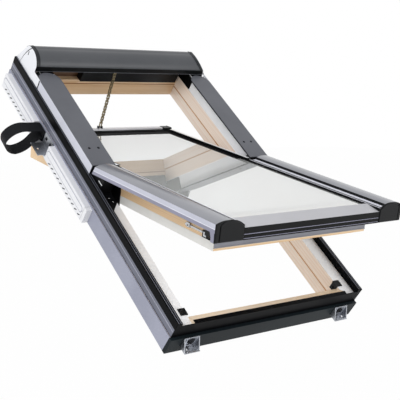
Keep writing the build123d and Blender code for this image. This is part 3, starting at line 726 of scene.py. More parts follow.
def hood_cheek():
    """The sheet that closes the end of the hood, in the near-black painted shade."""
    path = [CHEEK_FOOT, HOOD_RISE, (HOOD_SHOULDER, HOOD_BROW), (HOOD_BEND, HOOD_NAPE), CHEEK_BACK]
    return solid(on_x(HOOD_HALF - HOOD_SHEET), path, (HOOD_SHEET, 0, 0), HOOD_STEPS)


def front_plate():
    """The pale plate before the seam."""
    path = [CHEEK_FOOT, HOOD_RISE, (HOOD_SHOULDER, SEAM_TOP), (SEAM_BEND, SEAM_FOOT)]
    return rounded(solid(on_x(HOOD_HALF), path, (PLATE, 0, 0), 12), PLATE_RIM)


def rear_plate():
    """The pale plate behind the seam, a joint's width away from it."""
    path = [
        (SEAM_FOOT[0] + SEAM_JOINT, RAIL_TOP),
        ((SEAM_BEND[0] + SEAM_JOINT, SEAM_BEND[1] + SEAM_JOINT), (SEAM_TOP[0] + 2 * SEAM_JOINT, 198.6)),
        ((566, 194.6), (HOOD_NAPE[0] - 0.5, HOOD_NAPE[1])), (CHEEK_BACK[0] - 1, RAIL_TOP),
    ]
    return rounded(solid(on_x(HOOD_HALF), path, (PLATE * 0.7, 0, 0), 12), 0.8)


def seam_slot():
    """The short dark slot that stands off the seam."""
    return block((HOOD_HALF + PLATE - 0.3, *SLOT_LOW), (HOOD_HALF + PLATE + 0.25, *SLOT_HIGH))


two_sides("hood_cheek", hood_cheek, ROOF, FRAME, "cover_anthracite", [hood_shadow])
two_sides("hood_end_front", front_plate, ROOF, FRAME, "hood_end_silver", [white_flange], "hood_end", edge=0)
two_sides("hood_end_rear", rear_plate, ROOF, FRAME, "hood_end_silver", [white_flange], edge=0)
two_sides("hood_end_slot", seam_slot, ROOF, FRAME, "black_plastic", [black_plastic], edge=0)

# %% [markdown]
# The fixed covers beside the upper half of the sash are flat folded trays with a round upper end.
# Their outer flange is deep, and their inner lip only a few millimetres, over a dark seal. The flange
# faces sideways, and its coat, lighter than the top, is a painted reflection of the pale sky. The inner
# lip's faces get the near-black painted shade.
# The tray is drawn as its plan, pulled down as one skirt, and the skirt is then cut to its depths.

# %% Fixed covers
COVER_TOP = 149
COVER_IN, COVER_OUT = 276, 360
COVER_START, COVER_ROUND, COVER_CROWN = 20, 440, 482
FLANGE_LOW, LIP_LOW = 116, 145.5
FLANGE_RISE = 30
COVER_RIM, COVER_SHEET = 2.2, 1.2
COVER_MIDDLE = (COVER_IN + COVER_OUT) / 2
fixed_flange_sky_reflection = coated("coated_fixed_flange", "#d0d2de", "#c8cad6", 0.3)


def fixed_cover():
    """A tray with its skirt, deepest on the outer side, and open at its lower end."""
    plan = [(COVER_OUT, COVER_START), (COVER_OUT, COVER_ROUND),
            ((COVER_MIDDLE, COVER_CROWN), (COVER_IN, COVER_ROUND)), (COVER_IN, COVER_START)]
    bm = solid(on_z(FLANGE_LOW), plan, (0, 0, COVER_TOP - FLANGE_LOW), 20)
    rounded(bm, COVER_RIM, 4, lambda edge: all(vert.co.z > COVER_TOP - 1 for vert in edge.verts))
    is_open = [face for face in bm.faces if face.normal.z < -0.9 or face.normal.y < -0.9]
    bmesh.ops.delete(bm, geom=is_open, context="FACES_ONLY")
    for vert in bm.verts:
        if vert.co.z < FLANGE_LOW + 1:
            inwards = min(1, (COVER_OUT - vert.co.x) / FLANGE_RISE)
            vert.co.z += (LIP_LOW - FLANGE_LOW) * inwards
    # Painted reflection on the outer flange (pale coat) and painted shade on the inner lip (near-black
    # coat).
    painted(bm, 1, lambda middle, normal: middle.x > COVER_OUT - 1 and abs(normal.x) > 0.9)
    painted(bm, 2, lambda middle, normal: middle.x < COVER_IN + 1 and abs(normal.x) > 0.9)
    return bm


def cover_seal():
    """The dark seal under the inner lip."""
    return block((COVER_IN - 1.2, COVER_START, LIP_LOW - 1.2), (COVER_IN + 4, COVER_ROUND, LIP_LOW + 0.5))


two_sides("upper_cover_tray", fixed_cover, ROOF, FRAME, "cover_anthracite",
          [anthracite, fixed_flange_sky_reflection, hood_shadow], "upper_cover", sheet=COVER_SHEET, edge=0.3)
two_sides("cover_seal", cover_seal, ROOF, FRAME, "gasket", [rubber], edge=0.5)

# %% [markdown]
# Screws are small, but a metal cover looks bare without them. Each head is a turned dome on a thin
# washer, spun from half of its side view, and its drive is a shallow dark cross.

# %% Screws
AXIS_TURNS = {
    "Z": Matrix(),
    "X": Matrix.Rotation(math.pi / 2, 4, "Y"),
    "-Y": Matrix.Rotation(math.pi / 2, 4, "X"),
}
COVER_SCREW_LINES, COVER_SCREW_ROW = (300, 333), 99


def round_body(profile, place, axis="Z", steps=24):
    """A turned body: an outline of (radius, height) points spun about an axis through place."""
    bm = bmesh.new()
    outline(bm, lambda radius, height: Vector((radius, 0, height)), profile, 4)
    bmesh.ops.spin(bm, geom=bm.verts[:] + bm.edges[:], cent=(0, 0, 0), axis=(0, 0, 1), angle=math.tau,
                   steps=steps, use_merge=True)
    bmesh.ops.remove_doubles(bm, verts=bm.verts, dist=SAME_CORNER)
    bmesh.ops.recalc_face_normals(bm, faces=bm.faces)
    return moved(bm, Matrix.Translation(place) @ AXIS_TURNS[axis])


def screw(place, radius, height, axis="Z"):
    """A domed head on a washer, with a cross in it."""
    dome = [(radius * 1.25, 0), (radius * 1.25, 0.5), (radius, 0.5),
            ((radius * 0.8, height * 0.75), (0.01, height))]
    head = round_body(dome, (0, 0, 0))
    reach, width = radius * 0.55, radius * 0.14
    cross = joined(
        block((-reach, -width, height * 0.9), (reach, width, height + 0.05)),
        block((-width, -reach, height * 0.9), (width, reach, height + 0.05)),
    )
    painted(cross, 1)
    return moved(joined(head, cross), Matrix.Translation(place) @ AXIS_TURNS[axis])


def cover_screw_pair():
    """The two screws low on a fixed cover."""
    return joined(*[screw((x, COVER_SCREW_ROW, COVER_TOP), 3.6, 1.8) for x in COVER_SCREW_LINES])


two_sides("cover_screw", cover_screw_pair, ROOF, FRAME, "black_steel", [black_steel, black_plastic], edge=0)
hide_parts("cover_screws")

# %% [markdown]
# The covers on the sash are roll formed: a low crown that falls to a channel beside the glass, and an
# outer flange with a bead half way down it. The flange is cut on a slant at its upper end, to meet the
# fixed cover when the sash is open. Light and shade on them are painted. Crown, bead and the flange
# above and below the bead each get their own coat as a painted reflection of the part of the sky it
# faces, so the crown's grey is lightened and the upper flange is pale. The bead and the ribs in the
# channel are painted bright as painted highlights, and the channel gets the near-black painted shade.

# %% Side covers of the sash
CROWN_TOP, CROWN_FALL, CROWN_SIDE = (320, 29.8), (343, 27.3), (COVER_OUT, 21)
CHANNEL_OUT, RIB_LOW = 288, 15.5
BEAD = 7
side_path = [
    (263, 9.6), (263, 15.6), (267, 15.6), (267.6, 14.8), (278, 14.8), (278.6, 16.8), (281.4, 16.8),
    (282, 15.4), (284, 15.4), (284.6, 17.4), (287.4, 17.4), (CHANNEL_OUT, 16), (291.5, 24.4),
    ((305, 28.6), CROWN_TOP), (CROWN_FALL, CROWN_SIDE),
    (COVER_OUT, BEAD + 1), (COVER_OUT + 1, BEAD), (COVER_OUT, BEAD - 1), (COVER_OUT, -4),
]
FLANGE_SLANT = 0.6
SIDE_START, SIDE_END = -5, -597
SIDE_INSIDE = (320, -300, 0)
dim_reflection_paint = coated("painted_dim_reflection", "#8f8fa4", "#878799", 0.3, SASH_SLOPE)
highlight_paint_bright = coated("painted_highlight_bead", "#e4e5ef", "#dcdde8", 0.25, SASH_SLOPE)
crown_paint = coated("coated_crown", "#81838b", "#7a7c84", 0.18, SASH_SLOPE, 1.0)


def sash_cover():
    """The crowned sheet, cut off square but for the slanting upper end of its flange."""
    bm = folded(on_y(SIDE_END), side_path, (0, SIDE_START - SIDE_END, 0), SIDE_INSIDE, 10)
    # Painted reflection, highlight and shade: pale flange above the bead, bright bead, dimmer flange below,
    # near-black channel, bright ribs in it.
    painted(bm, 1, lambda middle, normal: middle.x > COVER_OUT - 0.2 and middle.z > BEAD + 1)
    painted(bm, 2, lambda middle, normal: middle.x > COVER_OUT + 0.1)
    painted(bm, 3, lambda middle, normal: middle.x > COVER_OUT - 0.2 and middle.z < BEAD - 1)
    painted(bm, 4, lambda middle, normal: middle.x < CHANNEL_OUT + 2)
    painted(bm, 2, lambda middle, normal: middle.x < CHANNEL_OUT and middle.z > RIB_LOW)
    for vert in bm.verts:
        if vert.co.y > SIDE_START - 1 and vert.co.x > COVER_OUT - 1:
            vert.co.y += FLANGE_SLANT * (CROWN_SIDE[1] - vert.co.z)
    return bm


def cover_flap():
    """The deeper tongue of the flange behind the end cap."""
    tongue = [(-595, -3.5), (-597, -30), (-583, -30), (-583, -18), (-577, -4)]
    return rounded(solid(on_x(COVER_OUT - COVER_SHEET), tongue, (COVER_SHEET, 0, 0)), 0.4, 2)


two_sides("side_cover_sheet", sash_cover, SASH, ON_SASH, "cover_anthracite",
          [crown_paint, cover_flange, highlight_paint_bright, dim_reflection_paint, hood_shadow], "side_cover",
          sheet=COVER_SHEET, edge=0.3)
two_sides("side_cover_flap", cover_flap, SASH, ON_SASH, "cover_anthracite", [dim_reflection_paint], edge=0)

# %% [markdown]
# Moulded caps close the lower ends of the side covers. Each has a plate with a chamfered outer edge,
# and a raised block with a round top, the way a moulder hides the plug that holds the cap.

# %% End caps
CAP_IN, CAP_LOW = 262, -30
CAP_BACK, CAP_FACE = -597, -600
PLUG_STEP, PLUG_END, PLUG_TOP, PLUG_OUT = -583, -556, 5.7, 358.5


def end_cap():
    """The plate with its raised block, and the plug behind it."""
    plate_path = [(CAP_IN, 13), (CAP_IN, CAP_LOW), (COVER_OUT, CAP_LOW), CROWN_SIDE,
                  (CROWN_FALL, CROWN_TOP), ((290, 27.3), (CAP_IN, 13))]
    plate = solid(on_y(CAP_BACK), plate_path, (0, CAP_FACE - CAP_BACK, 0), 10)
    rounded(plate, 1.6, 3, lambda edge: all(vert.co.y < CAP_FACE + 0.1 for vert in edge.verts))
    block_path = [(CAP_IN + 3, 9), (CAP_IN + 3, CAP_LOW + 2), (345, CAP_LOW + 2), (345, 16),
                  ((333, 25.4), (315, 27)), ((286, 23.5), (CAP_IN + 3, 9))]
    raised = solid(on_y(CAP_FACE + 0.5), block_path, (0, -3.4, 0), 10)
    rounded(raised, 2, 4, lambda edge: all(vert.co.y < CAP_FACE - 2 for vert in edge.verts))
    lobe_path = [(347.5, CAP_LOW + 2), (358.8, CAP_LOW + 2), (358.8, 16), ((354.5, 21.5), (347.5, 20.5))]
    lobe = solid(on_y(CAP_FACE + 0.5), lobe_path, (0, -2.9, 0), 6)
    rounded(lobe, 1.4, 3, lambda edge: all(vert.co.y < CAP_FACE - 2 for vert in edge.verts))
    plug = joined(
        block((CAP_IN, CAP_BACK, CAP_LOW), (PLUG_OUT, PLUG_STEP, PLUG_TOP)),
        block((CAP_IN, PLUG_STEP, -20), (PLUG_OUT, PLUG_END, PLUG_TOP)),
    )
    return joined(plate, raised, lobe, plug)


two_sides("end_cap_moulding", end_cap, SASH, ON_SASH, "cap_black", [cap_plastic], "end_cap", edge=0.3)

# %% [markdown]
# Between the caps a folded sheet sheds the rain from the glass. Its sloping top is paler than its
# dark front, and two swaged lines stiffen the front. Their upper sides get a lighter coat, a painted
# highlight.

# %% Bottom cover
front_black = coated("coated_cover_front", "#08090b", "#060708", 0.34, SASH_SLOPE, 0.14)
COVER_EDGE = (CAP_FACE, 5)
BOTTOM_INSIDE = (0, -570, -10)
bottom_path = [
    (-545, 10), (-545, 15), (-552, 15), COVER_EDGE,
    (CAP_FACE, -13), (CAP_FACE - 1.2, -14.2), (CAP_FACE, -15.4),
    (CAP_FACE, -25), (CAP_FACE - 1, -26), (CAP_FACE, -27), (CAP_FACE, CAP_LOW), (-582, CAP_LOW),
]
bottom = folded(on_x(-CAP_IN), bottom_path, (2 * CAP_IN, 0, 0), BOTTOM_INSIDE)
painted(bottom, 1, lambda middle, normal: middle.y < CAP_FACE + 0.5 or middle.z < CAP_LOW + 1)
# Painted highlight: the upward faces of the swaged lines get the dim reflection coat.
painted(bottom, 2, lambda middle, normal: middle.y < CAP_FACE - 0.1 and normal.z > 0.3)
piece("bottom_cover_sheet", bottom, SASH, "sash", "bottom_cover",
      [bottom_paint, front_black, dim_reflection_paint], ["bottom_cover"], COVER_SHEET, 0.3)

# %% [markdown]
# The gasket holds the glass all round but at the bottom. It is extruded rubber with two lips and a
# groove between them. Its side runs go past the upper one, and both are drawn as their cross-section.

# %% Gasket
GASKET_LOW, GASKET_FLANK, GASKET_HIGH, GASKET_GROOVE = 10, 12.2, 13, 12
PANE_HALF, PANE_TOP, PANE_LOW = 272, 506, -545
GASKET_WIDTH, GASKET_BAR_WIDTH = 16, 24
GASKET_IN = PANE_HALF - GASKET_WIDTH


def gasket_side():
    """One side's rubber, with a groove along its middle."""
    path = [
        (GASKET_IN, GASKET_LOW), (GASKET_IN, GASKET_FLANK),
        (GASKET_IN + 2.5, GASKET_HIGH), (GASKET_IN + 4, GASKET_HIGH),
        (GASKET_IN + 4.6, GASKET_GROOVE), (GASKET_IN + 5.6, GASKET_GROOVE),
        (GASKET_IN + 6.2, GASKET_HIGH), (PANE_HALF, GASKET_HIGH), (PANE_HALF, GASKET_LOW),
    ]
    return solid(on_y(PANE_LOW), path, (0, PANE_TOP - PANE_LOW, 0))


bar_path = [
    (PANE_TOP, GASKET_LOW), (PANE_TOP, GASKET_HIGH), (PANE_TOP - 4, GASKET_HIGH),
    (PANE_TOP - 4.6, GASKET_GROOVE), (PANE_TOP - 5.6, GASKET_GROOVE), (PANE_TOP - 6.2, GASKET_HIGH),
    (PANE_TOP - GASKET_BAR_WIDTH + 2, GASKET_HIGH),
    (PANE_TOP - GASKET_BAR_WIDTH, GASKET_FLANK), (PANE_TOP - GASKET_BAR_WIDTH, GASKET_LOW),
]
gasket_bar = solid(on_x(-GASKET_IN), bar_path, (2 * GASKET_IN, 0, 0))
two_sides("gasket_side", gasket_side, SASH, ON_SASH, "gasket", [rubber], edge=0.3)
piece("gasket_top", gasket_bar, SASH, "sash", "gasket", [rubber], ["glazing_gasket"], edge=0.3)

# %% [markdown]
# The pane has a black printed border along its upper half, which hides the seal between the two panes.
# It is laid on the glass as three thin strips, and a wall with a pale top stands beside it.

# %% Border and wall beside the glass
BORDER_LOW, BORDER_HIGH, BORDER_OUT = 9.9, 10.6, PANE_HALF - 15
BORDER_START, BORDER_TURN, BORDER_END = 40, 440, PANE_TOP - 23
BORDER_IN = PANE_HALF - 34
WALL_IN, WALL_OUT, WALL_FOOT, WALL_TOP = 261.5, 274, 9.6, 19
WALL_START, WALL_LENGTH, WALL_CHAMFER = 12, 464, 0.6
border = joined(
    block((-BORDER_OUT, BORDER_TURN, BORDER_LOW), (BORDER_OUT, BORDER_END, BORDER_HIGH)),
    block((-BORDER_OUT, BORDER_START, BORDER_LOW), (-BORDER_IN, BORDER_TURN, BORDER_HIGH)),
    block((BORDER_IN, BORDER_START, BORDER_LOW), (BORDER_OUT, BORDER_TURN, BORDER_HIGH)),
)


def glazing_wall():
    """The dark wall beside the glass, with its pale top."""
    path = [
        (WALL_IN, WALL_FOOT), (WALL_IN, WALL_TOP - WALL_CHAMFER), (WALL_IN + WALL_CHAMFER, WALL_TOP),
        (WALL_OUT - WALL_CHAMFER, WALL_TOP), (WALL_OUT, WALL_TOP - WALL_CHAMFER), (WALL_OUT, WALL_FOOT),
    ]
    bm = solid(on_y(WALL_START), path, (0, WALL_LENGTH, 0))
    return painted(bm, 1, lambda middle, normal: normal.z > 0.9 and middle.z > WALL_TOP - 1)


piece("pane_border", border, SASH, "sash", "gasket", [rubber], edge=0.2)
two_sides("glazing_wall", glazing_wall, SASH, ON_SASH, "gasket", [rubber, light_trim], edge=0)

# %% [markdown]
# A capping with rounded edges runs along the top of the sash, and a moulded corner covers each end of
# it: a low foot, and a high block with a wing on its outer side.

# %% Upper end of the sash
RIDGE_START, RIDGE_STOP, RIDGE_LOW, RIDGE_HIGH = 508, 531, 8.9, 19
RIDGE_HALF = 253


def corner_cap():
    """The moulded corner at the top of the sash."""
    foot = rounded(block((250, 494, 8.5), (297, 532, 10.8)), 0.8, 2)
    high = block((252, 496, 9), (288, 531.5, 20))
    rounded(high, 3, 3, lambda edge: abs(edge.verts[0].co.z - edge.verts[1].co.z) > 1)
    wing = rounded(block((284, 500, 9), (288, 531, 21)), 0.8, 2)
    return joined(foot, rounded(high, 1, 2), wing)


ridge_path = [
    (RIDGE_START, RIDGE_LOW), (RIDGE_START, RIDGE_HIGH - 2),
    ((RIDGE_START + 0.6, RIDGE_HIGH - 0.6), (RIDGE_START + 2, RIDGE_HIGH)), (RIDGE_STOP - 2, RIDGE_HIGH),
    ((RIDGE_STOP - 0.6, RIDGE_HIGH - 0.6), (RIDGE_STOP, RIDGE_HIGH - 2)), (RIDGE_STOP, RIDGE_LOW),
]
ridge = solid(on_x(-RIDGE_HALF), ridge_path, (2 * RIDGE_HALF, 0, 0), 4)
piece("capping_crown", ridge, SASH, "sash", "capping", [capping_paint], edge=0.2)
two_sides("sash_corner_cap", corner_cap, SASH, ON_SASH, "black_plastic", [black_plastic], edge=0)

# %% [markdown]
# The far end of the hood is mitred, so its outline falls straight from the top to the front lip. What
# is already drawn there is pushed in by its height above the lip. A ribbed ring covers each end's edge,
# from where the front rises to the nape.

# %% Mitred end and rings of the hood
MITRE = 0.8
MITRE_START, MITRE_REACH = 150, 16
RING_START, RING_WIDTH, RIB_WIDTH = HOOD_HALF - 13, 14, 2.5
RING_OUT, RIB_OUT = 0.7, 1.6
RING_MIDDLE = (545, 130)
ring_black = coated("coated_end_ring", "#25282b", "#1f2225", 0.4, gloss=0.25)


def mitred(thing):
    """Push the right-hand end of a piece inwards, by its height above the hood's lip."""
    back = ROOF.inverted()
    for vertex in thing.data.vertices:
        flat = back @ vertex.co
        if flat.x > HOOD_HALF - MITRE_REACH and flat.z > MITRE_START:
            flat.x -= MITRE * (flat.z - MITRE_START)
            vertex.co = ROOF @ flat


def hood_ring():
    """A strip over the hood's edge, with a rib along its inner side."""
    strip = folded(on_x(RING_START), hood_path[1:-1], (RING_WIDTH, 0, 0), HOOD_INSIDE, HOOD_STEPS)
    rib = folded(on_x(RING_START), hood_path[1:-1], (RIB_WIDTH, 0, 0), HOOD_INSIDE, HOOD_STEPS)
    for bm, out in ((strip, RING_OUT), (rib, RIB_OUT)):
        for vert in bm.verts:
            outwards = Vector((0, vert.co.y - RING_MIDDLE[0], vert.co.z - RING_MIDDLE[1]))
            vert.co += outwards.normalized() * out
    return joined(strip, rib)


two_sides("hood_ring", hood_ring, ROOF, FRAME, "cover_anthracite", [ring_black],
          sheet=COVER_SHEET, edge=0.3)
for name in ("hood_sheet", "hood_cheek_right", "hood_end_front_right", "hood_end_rear_right",
             "hood_end_slot_right", "hood_ring_right"):
    mitred(bpy.data.objects[name])

# %% [markdown]
# A folded rail runs up each side of the frame. Its outer face is silver up to a rolled bead and a
# little beyond, its top is black with two fine ribs, and a plate closes its lower end. The bead and the
# ribs are painted lighter, as painted highlights.

# %% Side rails
RAIL_LOW, RAIL_IN, RAIL_OUT = 57, 349, 366
SILVER_LOW, SILVER_TOP = 59, 88
RAIL_WALL = 2
RAIL_BEAD = 77.5
RIB_TOP = RAIL_TOP + 0.8
RAIL_START, RAIL_END = -578, 620
rail_path = [
    (RAIL_OUT - RAIL_WALL, RAIL_LOW), (RAIL_OUT, RAIL_LOW), (RAIL_OUT, SILVER_LOW),
    (RAIL_OUT, RAIL_BEAD - 1.5), (RAIL_OUT + 1.5, RAIL_BEAD), (RAIL_OUT, RAIL_BEAD + 1.5),
    (RAIL_OUT, SILVER_TOP), (RAIL_OUT, RAIL_TOP),
    (362, RAIL_TOP), (361.6, RIB_TOP), (359.8, RIB_TOP), (359.4, RAIL_TOP),
    (355, RAIL_TOP), (354.6, RIB_TOP), (352.8, RIB_TOP), (352.4, RAIL_TOP), (RAIL_IN, RAIL_TOP),
    (RAIL_IN, 90), (RAIL_IN + RAIL_WALL, 90), (RAIL_IN + RAIL_WALL, RAIL_TOP - RAIL_WALL),
    (RAIL_OUT - RAIL_WALL, RAIL_TOP - RAIL_WALL),
]
rail_rib_highlight = coated("painted_highlight_rail_rib", "#5c5f69", "#535660", 0.3)
rail_bead_highlight = coated("painted_highlight_rail_bead", "#9a9cab", "#9193a1", 0.25)


def side_rail():
    """The rail with its silver and black faces, and the plate at its lower end."""
    rail = solid(on_y(RAIL_START), rail_path, (0, RAIL_END - RAIL_START, 0))
    outer = RAIL_OUT - 0.5
    painted(rail, 1, lambda middle, normal: middle.x > outer and SILVER_LOW < middle.z < SILVER_TOP)
    # Painted highlights: the bead and the two ribs get lighter coats.
    painted(rail, 2, lambda middle, normal: middle.x > RAIL_OUT + 0.1)
    painted(rail, 3, lambda middle, normal: middle.z > RAIL_TOP + 0.1)
    plate = block((RAIL_IN, RAIL_START - 2, RAIL_LOW), (RAIL_OUT, RAIL_START, RAIL_TOP))
    return joined(rail, plate)


two_sides("side_rail_profile", side_rail, ROOF, FRAME, "black_rail",
          [black_rail, rail_strip, rail_bead_highlight, rail_rib_highlight], "side_rail", edge=0.3)

# %% [markdown]
# The foam collar is wrapped in foil that is welded round the edges. On its outer face the weld leaves a
# raised panel with round ends inside a fine grey seam, a fold runs above it, and a row of slanting cuts
# below lets the collar bend. The hanging bracket sits in a gap between its two runs.

# %% Foil round the collar
COLLAR_IN, COLLAR_OUT, COLLAR_HIGH = 370, 390.8, 52.8
COLLAR_RUNS = ((-60, 220), (345, 600))
COLLAR_INSIDE = (380, 0, 20)
FOLD_HEIGHT = 46.5
PANEL_LOW, PANEL_HIGH, PANEL_INSET, SEAM_WIDTH = 22.5, 41.5, 6, 2
CUT_PITCH, CUT_START, CUT_HEIGHT = 23, 14, 9.5
CUT_LENGTH, CUT_WIDTH = 15, 3.2
CUT_TURN = math.radians(-28)
seam_grey = coated("foil_seam", "#9a9cab", "#9092a0", 0.5)
cut_black = moulded("collar_cut", "#15161a", "#1c1d22", 0.6)


def foil_skin(start, stop):
    """The foil over one run: outer face with its fold, soft corner, and top."""
    path = [(COLLAR_OUT, 0), (COLLAR_OUT, FOLD_HEIGHT), (COLLAR_OUT - 0.7, FOLD_HEIGHT + 0.6),
            (COLLAR_OUT, FOLD_HEIGHT + 1.4), (COLLAR_OUT, 50.4),
            ((COLLAR_OUT - 0.7, 52.1), (COLLAR_OUT - 2.4, COLLAR_HIGH)),
            (COLLAR_OUT - 3.8, COLLAR_HIGH), (COLLAR_IN, COLLAR_HIGH)]
    return folded(on_y(start), path, (0, stop - start, 0), COLLAR_INSIDE, 4)


def raised_panel(start, stop, low, high, proud):
    """A flat panel with round ends, standing proud of the outer face."""
    middle, half = (low + high) / 2, (high - low) / 2
    path = [(start + half, low), (stop - half, low), ((stop, middle), (stop - half, high)),
            (start + half, high), ((start, middle), (start + half, low))]
    return solid(on_x(COLLAR_OUT - 0.3), path, (proud + 0.3, 0, 0), 10)


def collar_panels():
    """The seam and the raised panel of both runs."""
    drawings = []
    for start, stop in COLLAR_RUNS:
        first, last = start + PANEL_INSET, stop - PANEL_INSET
        seam = raised_panel(
            first - SEAM_WIDTH, last + SEAM_WIDTH, PANEL_LOW - SEAM_WIDTH, PANEL_HIGH + SEAM_WIDTH, 0.4
        )
        drawings.append(painted(seam, 1))
        panel = raised_panel(first, last, PANEL_LOW, PANEL_HIGH, 1.2)
        rounded(panel, 0.7, 2, lambda edge: all(vert.co.x > COLLAR_OUT + 1 for vert in edge.verts))
        drawings.append(panel)
    return joined(*drawings)


def collar_cuts():
    """A row of slanting cuts along each run."""
    cuts = []
    for start, stop in COLLAR_RUNS:
        for number in range(int((stop - start - CUT_START - 2) / CUT_PITCH)):
            place = Vector((COLLAR_OUT, start + CUT_START + number * CUT_PITCH, CUT_HEIGHT))
            cut = block((-0.2, -CUT_LENGTH / 2, -CUT_WIDTH / 2), (0.35, CUT_LENGTH / 2, CUT_WIDTH / 2))
            cuts.append(moved(cut, Matrix.Translation(place) @ Matrix.Rotation(CUT_TURN, 4, "X")))
    return joined(*cuts)


def collar_skin():
    """The foil of both runs."""
    return joined(*[foil_skin(start, stop) for start, stop in COLLAR_RUNS])


two_sides("collar_skin", collar_skin, ROOF, FRAME, "foil", [foil], "collar_foil", sheet=0.8, edge=0)
two_sides("collar_panel", collar_panels, ROOF, FRAME, "foil", [foil, seam_grey], edge=0)
two_sides("collar_cut", collar_cuts, ROOF, FRAME, "foil", [cut_black], edge=0)

# %% [markdown]
# The lifting strap is flat woven webbing, folded into one loop and held by two layers of tab. It is
# too stiff to hang, so it is drawn as its side view, with arcs for its bends, and drawn out to its
# width. The weave's ribs run along the strap, so their bands follow one another up the slope.

# %% Lifting strap
STRAP_START, STRAP_WIDTH, STRAP_WALL = 290, 45, 2
LOOP_MIDDLE = (445, 310, 12)
WEAVE_PITCH, WEAVE_DEPTH, YARNS_IN_A_METRE = 0.0021, 0.0003, 1400
webbing, webbing_tree, webbing_shader = new_finish(
    "polyester_webbing", {"Roughness": 0.6, "Specular IOR Level": 0.12, "Sheen Weight": 0.04}
)
webbing_flat = laid_flat(webbing_tree, ROOF_PITCH)
rib_scale = WAVE_PERIOD / WEAVE_PITCH
rib = add(webbing_tree, "TexWave", {"bands_direction": "Y", "Vector": webbing_flat, "Scale": rib_scale})
yarn = add(webbing_tree, "TexNoise", {"Vector": webbing_flat, "Scale": YARNS_IN_A_METRE, "Detail": 2})
woven = add(webbing_tree, "Mix", {0: 0.3, 2: rib.outputs["Fac"], 3: yarn.outputs["Fac"]})
shade(webbing_tree, webbing_shader, woven.outputs[0], [(0.1, "#030406"), (0.9, "#101218")])
relief(webbing_tree, webbing_shader, woven.outputs[0], WEAVE_DEPTH)
strap_path = [
    (371, 12), (371, 48), ((373.5, 54.8), (380, 57)), (430, 57), ((479, 45), (500.3, 14)),
    ((487, -24), (452, -40)), ((423, -27), (400, 4)), ((387, 19), (375.5, 26)), (375.4, 12),
]
strap = folded(on_y(STRAP_START), strap_path, (0, STRAP_WIDTH, 0), LOOP_MIDDLE, 10)
to_the_left(strap)
piece("strap_loop", strap, ROOF, "frame", "webbing", [webbing], ["lifting_strap"], STRAP_WALL, 0.5)

# %% [markdown]
# Brackets hold the frame on the battens. They are pressed from zinc-plated steel with stiffening ribs,
# and black screws hold them to the frame. The sill brackets' screws sit on a black moulded cam.

# %% Bracket screws and ribs
SILL_LEG, SIDE_LEG = -593, 373
SCREW_LINE, SCREW_HEIGHT = 298, 40
SIDE_SCREW_ROWS = (240, 271)
SCREW_RADIUS, SCREW_DOME = 4.8, 3.5
CAM_RADIUS, CAM_DEPTH = 10, 3.6
PRESSED_RIBS, RIB_ACROSS = (279, 313), 4


def bracket_screws():
    """One screw in the sill bracket, on its cam with a lever, and two in the side bracket."""
    sill = screw((SCREW_LINE, SILL_LEG - SCREW_DOME, SCREW_HEIGHT), SCREW_RADIUS, SCREW_DOME, "-Y")
    disc = [
        (0.01, 0), (CAM_RADIUS, 0), (CAM_RADIUS, CAM_DEPTH - 1),
        ((CAM_RADIUS - 0.4, CAM_DEPTH - 0.3), (CAM_RADIUS - 1.2, CAM_DEPTH)), (0.01, CAM_DEPTH),
    ]
    cam = round_body(disc, (SCREW_LINE, SILL_LEG, SCREW_HEIGHT), "-Y", 28)
    lever = rounded(block((288, SILL_LEG - 2.6, 42), (302, SILL_LEG, 51)), 1, 2)
    side = [screw((SIDE_LEG, row, SCREW_HEIGHT), SCREW_RADIUS, SCREW_DOME, "X") for row in SIDE_SCREW_ROWS]
    return joined(sill, cam, lever, *side)


def bracket_ribs():
    """Pressed ribs on the upright leg and on the foot of the sill bracket, and its dark slot."""
    ribs = []
    for x in PRESSED_RIBS:
        ribs.append(rounded(block((x, SILL_LEG - 1.6, 25), (x + RIB_ACROSS, SILL_LEG, 53)), 0.8, 3))
        ribs.append(rounded(block((x, SILL_LEG - 23, 23), (x + RIB_ACROSS, SILL_LEG - 3, 24.4)), 0.7, 3))
    slot = rounded(block((289, SILL_LEG - 1, 26), (307, SILL_LEG + 0.2, 30)), 0.3, 2)
    return joined(painted(slot, 1), *ribs)


two_sides("bracket_screw", bracket_screws, ROOF, FRAME, "black_steel", [black_steel, black_plastic], edge=0)
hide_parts("bracket_screws")
two_sides("bracket_rib", bracket_ribs, ROOF, FRAME, "zinc", [zinc, black_plastic], edge=0)

# %% [markdown]
# The drive pushes the sash with a chain whose links are pressed plates in a figure of eight, on turned
# pins. Wide and narrow pairs take turns. The drive's exit and the pin on the sash lie on one circle
# about the pivot, so the chain leans by half the sum of their two angles. In the real drive the chain
# winds up in its housing as the sash closes. This model can't wind it, so the chain shortens towards
# the drive's exit instead.

# %% Chain
PIN_ROW, PIN_HEIGHT = 520, 24
PIN_CIRCLE = math.hypot(PIN_ROW, PIN_HEIGHT)
SHUT_PIN_TURN = math.atan2(PIN_HEIGHT, PIN_ROW)
EXIT_TURN = SHUT_PIN_TURN + math.radians(2)
CHAIN_LEAN = (EXIT_TURN + SHUT_PIN_TURN - OPENING) / 2
CHAIN_START, CHAIN_STOP = -12.3, -266.5
LINK_HALF, LINK_WAIST, LINK_WALL, LINKS = 4.1, 2.7, 1.5, 22
WIDE_PAIR, NARROW_PAIR = 3.5, 1.8
PIN_RADIUS, PIN_REACH = 2, 5
CHAIN_MIDDLE = -25
EXIT_ROW = PIN_CIRCLE * math.cos(EXIT_TURN)
EXIT_HEIGHT = PIVOT_HEIGHT + PIN_CIRCLE * math.sin(EXIT_TURN)
CHAIN = ROOF @ Matrix.Translation((CHAIN_MIDDLE, EXIT_ROW, EXIT_HEIGHT))
CHAIN = CHAIN @ Matrix.Rotation(CHAIN_LEAN, 4, "X")
LINK_PITCH = (CHAIN_START - CHAIN_STOP - 2 * LINK_HALF) / LINKS


